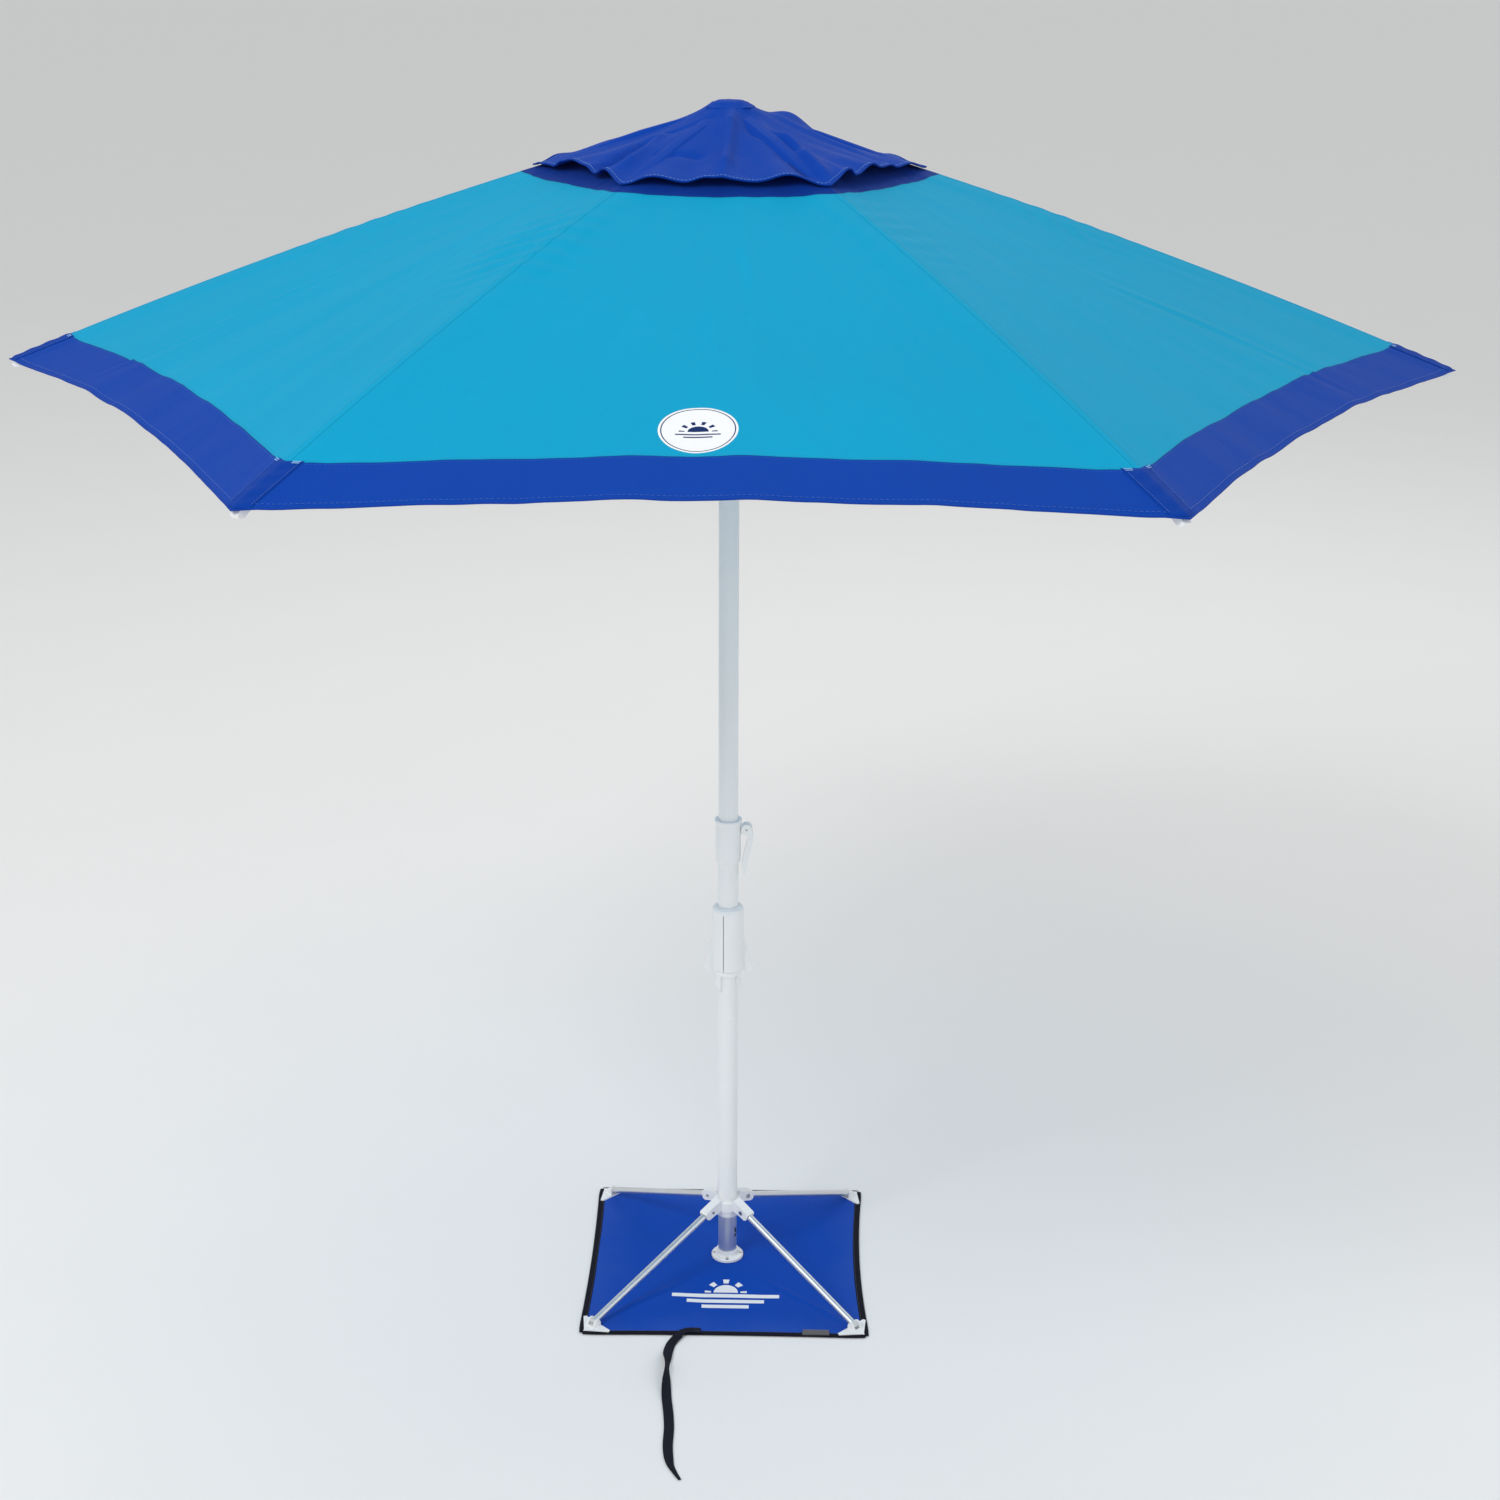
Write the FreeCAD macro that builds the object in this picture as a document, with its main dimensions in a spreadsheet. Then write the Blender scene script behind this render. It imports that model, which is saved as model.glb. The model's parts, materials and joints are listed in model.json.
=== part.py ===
"""Beach umbrella: hexagonal vented canopy, telescoping pole and folding four-leg base.

+Z is up, the origin is on the pole's axis at the ground and all sizes are in millimetres.
The canopy is open, the pole is extended and the legs are spread.
"""
import FreeCAD, Part
import math
import os

import Sketcher
from FreeCAD import Placement, Rotation, Vector

RIBS = 6
LEGS = 4
X_WAY, Y_WAY, Z_WAY = Vector(1, 0, 0), Vector(0, 1, 0), Vector(0, 0, 1)

SIZES = (
    ("pole_radius", 19.0, "outside of the base pole and the lower pole"),
    ("pole_wall", 0.8, "wall of every pole tube"),
    ("pole_fit", 0.1, "radial clearance of one pole tube in another"),
    ("trim", 0.3, "gap between neighbouring pieces"),
    ("foot_radius", 31.0, "foot disc and flange"),
    ("foot_height", 8.0, "foot disc"),
    ("cloth_gap", 2.1, "room for the cloth between foot disc and flange"),
    ("flange_top", 16.0, "top of the flange plate"),
    ("boss_top", 26.0, "top of the flange's boss"),
    ("stub_radius", 17.8, "bare tube between flange and hub"),
    ("hub_low", 106.0, "lower edge of the hub"),
    ("hub_high", 140.0, "upper edge of the hub"),
    ("hub_radius", 25.0, "barrel of the hub"),
    ("pole_foot", 118.0, "where the base pole stands in the hub"),
    ("leg_reach", 47.0, "leg pivot, out from the axis"),
    ("leg_height", 127.0, "leg pivot, above the ground"),
    ("knuckle_reach", 345.0, "corner knuckle, out from the axis"),
    ("knuckle_height", 12.0, "corner knuckle, above the ground"),
    ("leg_radius", 6.35, "leg tube"),
    ("axle_radius", 2.5, "leg axles and knuckle pins"),
    ("running", 0.08, "radial clearance of a turning pin"),
    ("socket_wall", 2.4, "walls of the leg sockets"),
    ("sheet_half", 270.0, "half the side of the ground sheet"),
    ("cloth", 0.9, "thickness of every cloth"),
    ("base_pole_top", 672.0, "where the lower pole stands on the base pole"),
    ("sleeve_low", 621.0, "coupler sleeve, lower edge"),
    ("sleeve_high", 752.0, "coupler sleeve, upper edge"),
    ("sleeve_radius", 24.5, "coupler sleeve"),
    ("tongue_low", 589.0, "end of the coupler's long tongue"),
    ("tab_low", 605.0, "end of the coupler's short tab"),
    ("grip_radius", 29.5, "winged locking collar"),
    ("grip_low", 632.0, "winged collar, lower edge of its barrel"),
    ("grip_high", 760.0, "winged collar, upper edge"),
    ("wing_reach", 45.0, "wing tips, out from the axis"),
    ("wing_low", 626.0, "wings, lower edge"),
    ("wing_high", 697.0, "where the wings leave the barrel"),
    ("wing_width", 10.0, "thickness of a wing"),
    ("clamp_low", 849.0, "cam collar, lower edge"),
    ("clamp_high", 932.0, "cam collar, upper edge"),
    ("clamp_radius", 23.4, "cam collar, at its waist"),
    ("lower_pole_top", 905.0, "lower pole, upper end"),
    ("cam_reach", 34.0, "cam lever pin, out from the axis"),
    ("cam_height", 913.0, "cam lever pin, above the ground"),
    ("cam_radius", 10.3, "eye of the cam lever"),
    ("cam_pin", 2.0, "radius of the cam lever's pin"),
    ("cam_width", 18.0, "width of the cam lever"),
    ("ear_width", 9.0, "ear of the cam collar"),
    ("upper_pole_low", 800.0, "tail of the upper pole"),
    ("upper_pole_top", 2186.5, "head of the upper pole"),
    ("notch_reach", 37.0, "rib hinge and strut hinge, out from the axis"),
    ("notch_height", 2183.0, "rib hinges, above the ground"),
    ("notch_radius", 46.0, "top hub and runner flange"),
    ("hinge_pin", 1.75, "radius of the rib and strut hinge pins"),
    ("rib_radius", 4.0, "rib rod"),
    ("rib_eye", 5.5, "rounded end of a rib"),
    ("rib_eye_width", 8.4, "width of a rib's eye"),
    ("rib_end_reach", 1236.0, "rib line's outer end, out from the axis"),
    ("rib_end_height", 1770.0, "rib line's outer end, above the ground"),
    ("rib_bow", 18.0, "upward bow of a rib"),
    ("rib_rod_end", 1214.0, "where the rod enters its end cap"),
    ("strut_length", 400.0, "hinge to hinge, and rib hinge to strut hinge"),
    ("strut_slope", 18.36, "angle of the open struts below level"),
    ("strut_radius", 3.5, "strut rod"),
    ("strut_eye", 5.0, "rounded end of a strut"),
    ("strut_eye_width", 7.4, "width of a strut's eye"),
    ("clip_drop", 11.0, "strut hinge below the rib's axis"),
    ("clip_wall", 2.2, "ears of the rib clip"),
    ("runner_fit", 0.2, "radial clearance of the runner on the pole"),
    ("button_height", 1848.0, "latch button, above the ground"),
    ("button_radius", 4.0, "latch button"),
    ("button_reach", 17.7, "face of the latch button, pressed in"),
    ("canopy_radius", 1250.0, "corner radius of the canopy"),
    ("opening_radius", 235.0, "corner radius of the vent opening"),
    ("canopy_lift", 5.5, "cloth above the axis of a rib"),
    ("cap_radius", 331.0, "corner radius of the vent cap"),
    ("cap_inner", 34.0, "vent cap, inner edge"),
    ("cap_hem_height", 2108.0, "hem of the vent cap at its corners"),
    ("cap_crown_height", 2212.0, "inner edge of the vent cap"),
    ("strap_width", 18.0, "storage strap"),
    ("strap_thickness", 1.6, "storage strap"),
    ("patch_length", 50.0, "hook-and-loop patch"),
    ("patch_width", 16.0, "hook-and-loop patch"),
)

# the storage strap's route on the ground, from the front binding to its tail
STRAP_ROUTE = (
    (-56, -273.8), (-67, -305), (-93, -338), (-101, -378), (-97, -420), (-98, -466),
    (-92, -512), (-86, -560), (-87, -608), (-80, -656), (-63, -704),
)
STRAP_BEND = 0.45


class Dim:
    """A size: the expression that gives it and the number that it comes to."""

    def __init__(self, text, value):
        self.text, self.value = str(text), float(value)

    def _with(self, other, sign, result):
        return Dim(f"({self.text} {sign} {dim(other).text})", result)

    def __add__(self, other):
        return self._with(other, "+", self.value + dim(other).value)

    def __sub__(self, other):
        return self._with(other, "-", self.value - dim(other).value)

    def __mul__(self, other):
        return self._with(other, "*", self.value * dim(other).value)

    def __truediv__(self, other):
        return self._with(other, "/", self.value / dim(other).value)

    def __neg__(self):
        return Dim(f"(0 - {self.text})", -self.value)


def dim(value):
    """The value as a Dim, whether it is one already or a plain number."""
    return value if isinstance(value, Dim) else Dim(f"({value})", value)


def sine(angle):
    return Dim(f"sin({angle.text})", math.sin(math.radians(angle.value)))


def cosine(angle):
    return Dim(f"cos({angle.text})", math.cos(math.radians(angle.value)))


doc = FreeCAD.newDocument("BeachUmbrella")
sheet = doc.addObject("Spreadsheet::Sheet", "Sizes")
for row, (alias, value, meaning) in enumerate(SIZES, start=1):
    sheet.set(f"A{row}", alias)
    sheet.set(f"B{row}", str(value))
    sheet.set(f"C{row}", meaning)
    sheet.setAlias(f"B{row}", alias)
doc.recompute()
size = {alias: Dim(f"Sizes.{alias}", value) for alias, value, _ in SIZES}
nodes = []


# ---------------------------------------------------------------- building blocks

def keep(thing, label, azimuth=0.0):
    """Names a finished sub-part and turns it to its place around the pole."""
    thing.Label = label
    thing.Placement = Placement(Vector(), Rotation(Z_WAY, azimuth))
    nodes.append(thing)
    return thing


def new_body(name):
    return doc.addObject("PartDesign::Body", name + "_body")


def origin_part(body, role):
    return next(o for o in body.Origin.OriginFeatures if o.Role == role)


def new_sketch(body, name, role):
    sketch = body.newObject("Sketcher::SketchObject", name)
    sketch.AttachmentSupport = [(origin_part(body, role), "")]
    sketch.MapMode = "FlatFace"
    return sketch


def pin_point(sketch, geometry, end, x, y):
    """Ties one point of the sketch to its place, through the sheet's sizes."""
    for kind, place, axis in (("DistanceX", x, -2), ("DistanceY", y, -1)):
        if place.value == 0:
            sketch.addConstraint(Sketcher.Constraint("PointOnObject", geometry, end, axis))
            continue
        number = sketch.addConstraint(
            Sketcher.Constraint(kind, -1, 1, geometry, end, place.value)
        )
        sketch.setExpression(f"Constraints[{number}]", place.text)


def polygon(body, name, role, points):
    """A closed outline of straight edges through the points."""
    sketch = new_sketch(body, name, role)
    points = [(dim(x), dim(y)) for x, y in points]
    corners = [Vector(x.value, y.value, 0) for x, y in points]
    count = len(corners)
    for n in range(count):
        sketch.addGeometry(Part.LineSegment(corners[n], corners[(n + 1) % count]))
    sketch.addConstraint(
        [Sketcher.Constraint("Coincident", n, 2, (n + 1) % count, 1) for n in range(count)]
    )
    for n, (x, y) in enumerate(points):
        pin_point(sketch, n, 1, x, y)
    return sketch


def ring_outline(body, name, role, x, y, radius):
    """A circle about (x, y)."""
    sketch = new_sketch(body, name, role)
    x, y = dim(x), dim(y)
    sketch.addGeometry(Part.Circle(Vector(x.value, y.value, 0), Z_WAY, radius.value))
    pin_point(sketch, 0, 3, x, y)
    number = sketch.addConstraint(Sketcher.Constraint("Radius", 0, radius.value))
    sketch.setExpression(f"Constraints[{number}]", radius.text)
    return sketch


def revolve(body, sketch, name, angle=360.0):
    """Turns an outline about the pole's axis, evenly to both sides if not all round."""
    feature = body.newObject("PartDesign::Revolution", name)
    feature.Profile = sketch
    feature.ReferenceAxis = (sketch, ["V_Axis"])
    feature.Angle = angle
    feature.Midplane = angle < 360.0
    return feature


def both_ways(body, kind, sketch, name, length):
    """A Pad or Pocket of the given whole length, half on each side of its plane."""
    feature = body.newObject("PartDesign::" + kind, name)
    feature.Profile = sketch
    feature.SideType = "Symmetric"
    feature.setExpression("Length", dim(length).text)
    return feature


def one_way(body, kind, sketch, name, length, reverse=False):
    feature = body.newObject("PartDesign::" + kind, name)
    feature.Profile = sketch
    feature.Reversed = reverse
    feature.setExpression("Length", dim(length).text)
    return feature


def around(body, features, count, name):
    """Repeats features about the pole's axis."""
    pattern = body.newObject("PartDesign::PolarPattern", name)
    pattern.Originals = features
    pattern.Axis = (origin_part(body, "Z_Axis"), [""])
    pattern.Angle = 360
    pattern.Occurrences = count
    body.Tip = pattern
    return pattern


def spun(name, points, azimuth=0.0):
    """A sub-part that is one outline turned about the pole's axis."""
    body = new_body(name)
    revolve(body, polygon(body, name + "_outline", "XZ_Plane", points), name + "_turn")
    return keep(body, name, azimuth)


def tube(name, inside, outside, low, high):
    return spun(name, [(inside, low), (outside, low), (outside, high), (inside, high)])


def place_at(thing, x, y, z, rotation=None):
    """Binds a primitive's place to the sheet's sizes."""
    thing.Placement = Placement(Vector(), rotation or Rotation())
    for way, value in (("x", x), ("y", y), ("z", z)):
        thing.setExpression("Placement.Base." + way, dim(value).text)
    return thing


def rod(name, radius, length, x, y, z, way):
    """A round bar that starts at (x, y, z) and runs the way given."""
    bar = doc.addObject("Part::Cylinder", name)
    bar.setExpression("Radius", dim(radius).text)
    bar.setExpression("Height", dim(length).text)
    return place_at(bar, x, y, z, Rotation(Z_WAY, way))


def cross_rod(name, radius, width, x, z):
    """A round bar along Y, centred on (x, 0, z)."""
    width = dim(width)
    return rod(name, radius, width, x, width / -2, z, Y_WAY)


def block(name, long, wide, high, x, y, z, rotation=None):
    box = doc.addObject("Part::Box", name)
    for prop, value in (("Length", long), ("Width", wide), ("Height", high)):
        box.setExpression(prop, dim(value).text)
    return place_at(box, x, y, z, rotation)


def fused(name, pieces):
    union = doc.addObject("Part::MultiFuse", name)
    union.Shapes = pieces
    return union


def cut(name, base, tool):
    result = doc.addObject("Part::Cut", name)
    result.Base, result.Tool = base, tool
    return result


def group(name, pieces):
    result = doc.addObject("Part::Compound", name)
    result.Links = pieces
    return result


def cloth_solid(rows, thickness):
    """A closed solid under a net of points, its underside the same net lowered."""
    down = Vector(0, 0, -thickness)

    def face(corners):
        return Part.Face(Part.makePolygon(list(corners) + [corners[0]]))

    last, end = len(rows) - 1, len(rows[0]) - 1
    faces = []
    for i in range(last):
        for j in range(end):
            quad = (rows[i][j], rows[i + 1][j], rows[i + 1][j + 1], rows[i][j + 1])
            faces += [face(quad), face([p + down for p in quad])]
    sides = [(rows[i][j], rows[i + 1][j]) for i in range(last) for j in (0, end)]
    sides += [(rows[i][j], rows[i][j + 1]) for i in (0, last) for j in range(end)]
    faces += [face((a, b, b + down, a + down)) for a, b in sides]
    solid = Part.makeSolid(Part.makeShell(faces))
    if solid.Volume < 0:
        solid.reverse()
    return solid


def cloth_part(name, solids, azimuth=0.0):
    feature = doc.addObject("Part::Feature", name + "_cloth")
    feature.Shape = solids[0] if len(solids) == 1 else Part.makeCompound(solids)
    return keep(feature, name, azimuth)


# ---------------------------------------------------------------- base

def make_foot():
    radius, foot = size["foot_radius"], size["foot_height"]
    plate = foot + size["cloth_gap"]
    spun("foot_disc", [(0, 0), (radius - 2, 0), (radius, 2), (radius, foot), (0, foot)])
    half = (radius + 2).value
    low, high = foot.value + size["trim"].value, plate.value - size["trim"].value
    corners = [[Vector(x, y, high) for y in (-half, half)] for x in (-half, half)]
    cloth_part("sheet_centre", [cloth_solid(corners, high - low)])
    body = new_body("flange")
    bore, boss = size["stub_radius"] + 0.05, size["stub_radius"] + 3.2
    top = size["flange_top"]
    outline = [
        (bore, plate), (radius, plate), (radius, top - 1.5), (radius - 1.5, top),
        (boss, top), (boss, size["boss_top"]), (bore, size["boss_top"]),
    ]
    revolve(body, polygon(body, "flange_outline", "XZ_Plane", outline), "flange_turn")
    hole = ring_outline(body, "rivet_hole", "XY_Plane", 26.2, 0, dim(1.8))
    first = both_ways(body, "Pocket", hole, "rivet_holes_first", top * 3)
    around(body, [first], LEGS, "rivet_holes")
    keep(body, "flange")
    rivets = []
    for n in range(LEGS):
        way = Rotation(Z_WAY, 360 / LEGS * n).multVec(Vector(26.2, 0, 0))
        shank = rod(f"rivet_shank_{n}", 1.7, top - plate, way.x, way.y, plate, Z_WAY)
        head = rod(f"rivet_head_{n}", 3.2, 1.6, way.x, way.y, top + 0.02, Z_WAY)
        rivets.append(fused(f"rivet_{n}", [shank, head]))
    keep(group("rivets", rivets), "flange_rivets")


def make_stub():
    body = new_body("stub_tube")
    outer, low = size["stub_radius"], size["foot_height"] + size["cloth_gap"]
    inner, high = outer - 1.2, size["pole_foot"] - size["trim"]
    outline = [(inner, low), (outer, low), (outer, high), (inner, high)]
    revolve(body, polygon(body, "stub_outline", "XZ_Plane", outline), "stub_turn")
    slot = [(-3.4, 56), (3.4, 56), (3.4, 76), (-3.4, 76)]
    sketch = polygon(body, "stub_slot_outline", "XZ_Plane", slot)
    one_way(body, "Pocket", sketch, "stub_slot", outer * 2, reverse=True)
    keep(body, "stub_tube", 64.0)
    pin = rod("stub_pin_rod", 3.0, 9.4, 0, -(outer + 0.9), 64, Y_WAY)
    keep(group("stub_pin_group", [pin]), "stub_pin", 64.0)


def leg_slope():
    rise = size["leg_height"].value - size["knuckle_height"].value
    return math.degrees(math.atan2(rise, size["knuckle_reach"].value - size["leg_reach"].value))


def along_leg(s, n):
    """A point s along the leg from its pivot and n above its axis."""
    slope = math.radians(leg_slope())
    x = size["leg_reach"] + (s * math.cos(slope) + n * math.sin(slope))
    z = size["leg_height"] + (n * math.cos(slope) - s * math.sin(slope))
    return x, z


def make_hub():
    body = new_body("hub")
    bore, step = size["pole_radius"] + 0.05, size["stub_radius"] + 0.05
    radius, low, high = size["hub_radius"], size["hub_low"], size["hub_high"]
    seat = size["pole_foot"]
    barrel = [
        (step, low), (radius - 3, low), (radius - 2, low + 10), (radius, low + 12),
        (radius, high - 3), (radius - 2, high), (bore, high), (bore, seat), (step, seat),
    ]
    revolve(body, polygon(body, "hub_outline", "XZ_Plane", barrel), "hub_barrel")
    clear = size["leg_radius"].value + 0.35
    inside = 2 * clear
    outside = inside + 2 * size["socket_wall"].value
    cheeks = [
        along_leg(-27, 1), along_leg(-27, clear + 2.6), along_leg(14, clear + 2.6),
        along_leg(17, clear), along_leg(17, -5), along_leg(12, -9.5), along_leg(-3, -10),
        along_leg(-22, -14),
    ]
    socket = both_ways(
        body, "Pad", polygon(body, "socket_outline", "XZ_Plane", cheeks), "socket", outside
    )
    hollow = [
        along_leg(-8.5, clear), along_leg(24, clear), along_leg(24, -22), along_leg(-8.5, -22),
    ]
    channel = both_ways(
        body, "Pocket", polygon(body, "channel_outline", "XZ_Plane", hollow), "channel", inside
    )
    eye = ring_outline(
        body, "axle_hole_outline", "XZ_Plane", size["leg_reach"], size["leg_height"],
        size["axle_radius"] + 0.04,
    )
    axle_hole = both_ways(body, "Pocket", eye, "axle_hole", outside * 2)
    around(body, [socket, channel, axle_hole], LEGS, "sockets")
    keep(body, "hub", 45.0)

    screws = []
    reach = outside / 2
    for n in range(LEGS):
        turn = Rotation(Z_WAY, 360 / LEGS * n)
        start = turn.multVec(Vector(size["leg_reach"].value, -reach - 0.02, 0))
        way = turn.multVec(Y_WAY)
        shank = rod(
            f"axle_shank_{n}", size["axle_radius"], outside + 2, start.x, start.y,
            size["leg_height"], way,
        )
        head = rod(f"axle_head_{n}", 4.2, 1.8, start.x, start.y, size["leg_height"], way * -1)
        screws.append(fused(f"axle_{n}", [shank, head]))
    keep(group("axles", screws), "leg_axles", 45.0)


def make_leg(n):
    name = f"leg_{n + 1}"
    slope = leg_slope()
    run = size["knuckle_reach"] - size["leg_reach"]
    length = run / math.cos(math.radians(slope))
    way = Vector(math.cos(math.radians(slope)), 0, -math.sin(math.radians(slope)))
    pivot = (size["leg_reach"], size["leg_height"])
    knuckle = (size["knuckle_reach"], size["knuckle_height"])
    radius = size["leg_radius"]
    bar = rod(name + "_bar", radius, length, pivot[0], 0, pivot[1], way)
    eyes = [cross_rod(f"{name}_eye_{k}", radius, 12.3, *p) for k, p in enumerate((pivot, knuckle))]
    solid = fused(name + "_solid", [bar] + eyes)
    hollow_start = along_leg(14, 0)
    hollow = rod(
        name + "_hollow", radius - 1, length - 28, hollow_start[0], 0, hollow_start[1], way
    )
    bores = [
        cross_rod(f"{name}_bore_{k}", size["axle_radius"] + size["running"], 20, *p)
        for k, p in enumerate((pivot, knuckle))
    ]
    tools = fused(name + "_tools", [hollow] + bores)
    keep(cut(name + "_cut", solid, tools), name, 45.0 + 360.0 / LEGS * n)


def make_bracket(n):
    """A corner foot: a three-sided plate with two ears that hold the leg's knuckle."""
    name = f"corner_bracket_{n + 1}"
    body = new_body(name)
    reach, height = size["knuckle_reach"], size["knuckle_height"]
    low = size["cloth"] + 0.3
    top = low + 3
    point, back = reach + 27, reach - 9
    plate = [
        (back, dim(-34)), (back + 5, dim(-36)), (point - 4, dim(-3)), (point, dim(0)),
        (point - 4, dim(3)), (back + 5, dim(36)), (back, dim(34)),
    ]
    base = polygon(body, name + "_plate_outline", "XY_Plane", plate)
    base.setExpression("AttachmentOffset.Base.z", low.text)
    one_way(body, "Pad", base, name + "_plate", dim(3))
    ears = [
        (reach - 7.5, top - 0.5), (reach - 7.5, height), (reach - 5, height + 5),
        (reach, height + 7), (reach + 5, height + 5), (reach + 7.5, height),
        (reach + 13, top - 0.5),
    ]
    both_ways(
        body, "Pad", polygon(body, name + "_ear_outline", "XZ_Plane", ears), name + "_ears", 19.4
    )
    gap = [
        (reach - 12, top), (reach + 10.5, top), (reach + 10.5, height + 12),
        (reach - 12, height + 12),
    ]
    both_ways(
        body, "Pocket", polygon(body, name + "_gap_outline", "XZ_Plane", gap), name + "_gap", 13.0
    )
    pin = ring_outline(
        body, name + "_pin_outline", "XZ_Plane", reach, height, size["axle_radius"]
    )
    both_ways(body, "Pad", pin, name + "_pin", 22.0)
    keep(body, name, 45.0 + 360.0 / LEGS * n)


def make_ground_panel(n):
    """A quarter of the ground sheet, raised where it meets the foot disc."""
    inner = size["foot_radius"].value + 2.3
    raised = size["foot_height"].value + size["trim"].value + size["cloth"].value
    half, flat = size["sheet_half"].value, size["cloth"].value
    rows = []
    for x, z in ((inner, raised), (150.0, flat + 0.02), (half, flat)):
        y = x - 0.25
        rows.append([Vector(x, -y, z), Vector(x, y, z)])
    rows[1] = [Vector(p.x, p.y, flat) for p in rows[1]]
    cloth_part(f"sheet_panel_{n + 1}", [cloth_solid(rows, flat)], -90.0 + 90.0 * n)


def strap_path(points):
    """Straight runs joined by arcs that touch both runs."""
    points = [Vector(x, y, size["strap_thickness"].value / 2) for x, y in points]
    edges, start, radii = [], points[0], []
    for before, corner, after in zip(points, points[1:], points[2:]):
        back, ahead = before - corner, after - corner
        turn = math.pi - back.getAngle(ahead)
        trim = STRAP_BEND * min(back.Length, ahead.Length)
        first = corner + back.normalize() * trim
        second = corner + ahead.normalize() * trim
        radius = trim / math.tan(turn / 2)
        radii.append(round(radius))
        middle_way = ((first + second) * 0.5 - corner).normalize()
        middle = corner + middle_way * (radius / math.cos(turn / 2) - radius)
        edges.append(Part.LineSegment(start, first).toShape())
        edges.append(Part.Arc(first, middle, second).toShape())
        start = second
    edges.append(Part.LineSegment(start, points[-1]).toShape())
    return Part.Wire(edges), radii


def make_strap():
    wire, radii = strap_path(STRAP_ROUTE)
    start = wire.OrderedVertexes[0].Point
    way = wire.OrderedEdges[0].tangentAt(wire.OrderedEdges[0].FirstParameter)
    across = way.cross(Z_WAY).normalize() * (size["strap_width"].value / 2)
    up = Z_WAY * (size["strap_thickness"].value / 2)
    corners = [start + across + up, start - across + up, start - across - up, start + across - up]
    section = Part.makePolygon(corners + [corners[0]])
    solid = wire.makePipeShell([section], True, True)
    expected = size["strap_width"].value * size["strap_thickness"].value * wire.Length
    print("strap length", round(wire.Length, 1), "bend radii", radii)
    if abs(solid.Volume / expected - 1) > 0.02:
        raise ValueError("the strap's volume is not its section times its length")
    cloth_part("storage_strap", [solid])


def make_patch():
    body = new_body("hook_patch")
    half, edge = size["patch_length"] / 2, -size["sheet_half"]
    middle = 172.0
    low = size["cloth"] + 0.3
    outline = [
        (-half + middle, edge + 2), (half + middle, edge + 2),
        (half + middle, edge + 2 + size["patch_width"]),
        (-half + middle, edge + 2 + size["patch_width"]),
    ]
    sketch = polygon(body, "hook_patch_outline", "XY_Plane", outline)
    sketch.setExpression("AttachmentOffset.Base.z", low.text)
    one_way(body, "Pad", sketch, "hook_patch_pad", dim(1.4))
    keep(body, "hook_patch")


# ---------------------------------------------------------------- poles and locks

def make_poles():
    outer, wall = size["pole_radius"], size["pole_wall"]
    tube("base_pole", outer - wall, outer, size["pole_foot"] + 0.1, size["base_pole_top"])
    tube("lower_pole", outer - wall, outer, size["base_pole_top"] + 0.5, size["lower_pole_top"])
    body = new_body("upper_pole")
    radius = outer - wall - size["pole_fit"]
    inner, low, high = radius - wall, size["upper_pole_low"], size["upper_pole_top"]
    outline = [(inner, low), (radius, low), (radius, high), (inner, high)]
    revolve(body, polygon(body, "upper_pole_outline", "XZ_Plane", outline), "upper_pole_turn")
    hole = ring_outline(
        body, "button_hole_outline", "YZ_Plane", 0, size["button_height"],
        size["button_radius"] + size["pole_fit"],
    )
    one_way(body, "Pocket", hole, "button_hole", radius * 2, reverse=True)
    keep(body, "upper_pole")


def make_button():
    """The sprung latch under the runner, pressed in, with the collar that keeps it in the pole."""
    height, radius = size["button_height"], size["button_radius"]
    face = size["button_reach"]
    stem = rod("button_stem", radius, 7.2, face - 7.2, 0, height, X_WAY)
    collar = rod("button_collar", radius + 1.5, 2, face - 7.2, 0, height, X_WAY)
    keep(fused("button_all", [stem, collar]), "latch_button")


def make_coupler():
    body = new_body("coupler_sleeve")
    bore, outer = size["pole_radius"] + size["pole_fit"], size["sleeve_radius"]
    low, high = size["sleeve_low"], size["sleeve_high"]
    ring = [(bore, low), (outer, low), (outer, high - 1), (outer - 1, high), (bore, high)]
    revolve(body, polygon(body, "sleeve_outline", "XZ_Plane", ring), "sleeve_turn")
    tongue = [
        (-bore, size["tongue_low"] + 4), (-(outer - 2.5), size["tongue_low"]),
        (-outer, size["tongue_low"] + 7), (-outer, low + 5), (-bore, low + 5),
    ]
    revolve(body, polygon(body, "tongue_outline", "XZ_Plane", tongue), "tongue", 110.0)
    tab = [
        (bore, size["tab_low"] + 2), (outer - 1, size["tab_low"]),
        (outer, size["tab_low"] + 4), (outer, low + 5), (bore, low + 5),
    ]
    revolve(body, polygon(body, "tab_outline", "XZ_Plane", tab), "tab", 80.0)
    keep(body, "coupler_sleeve")


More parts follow.
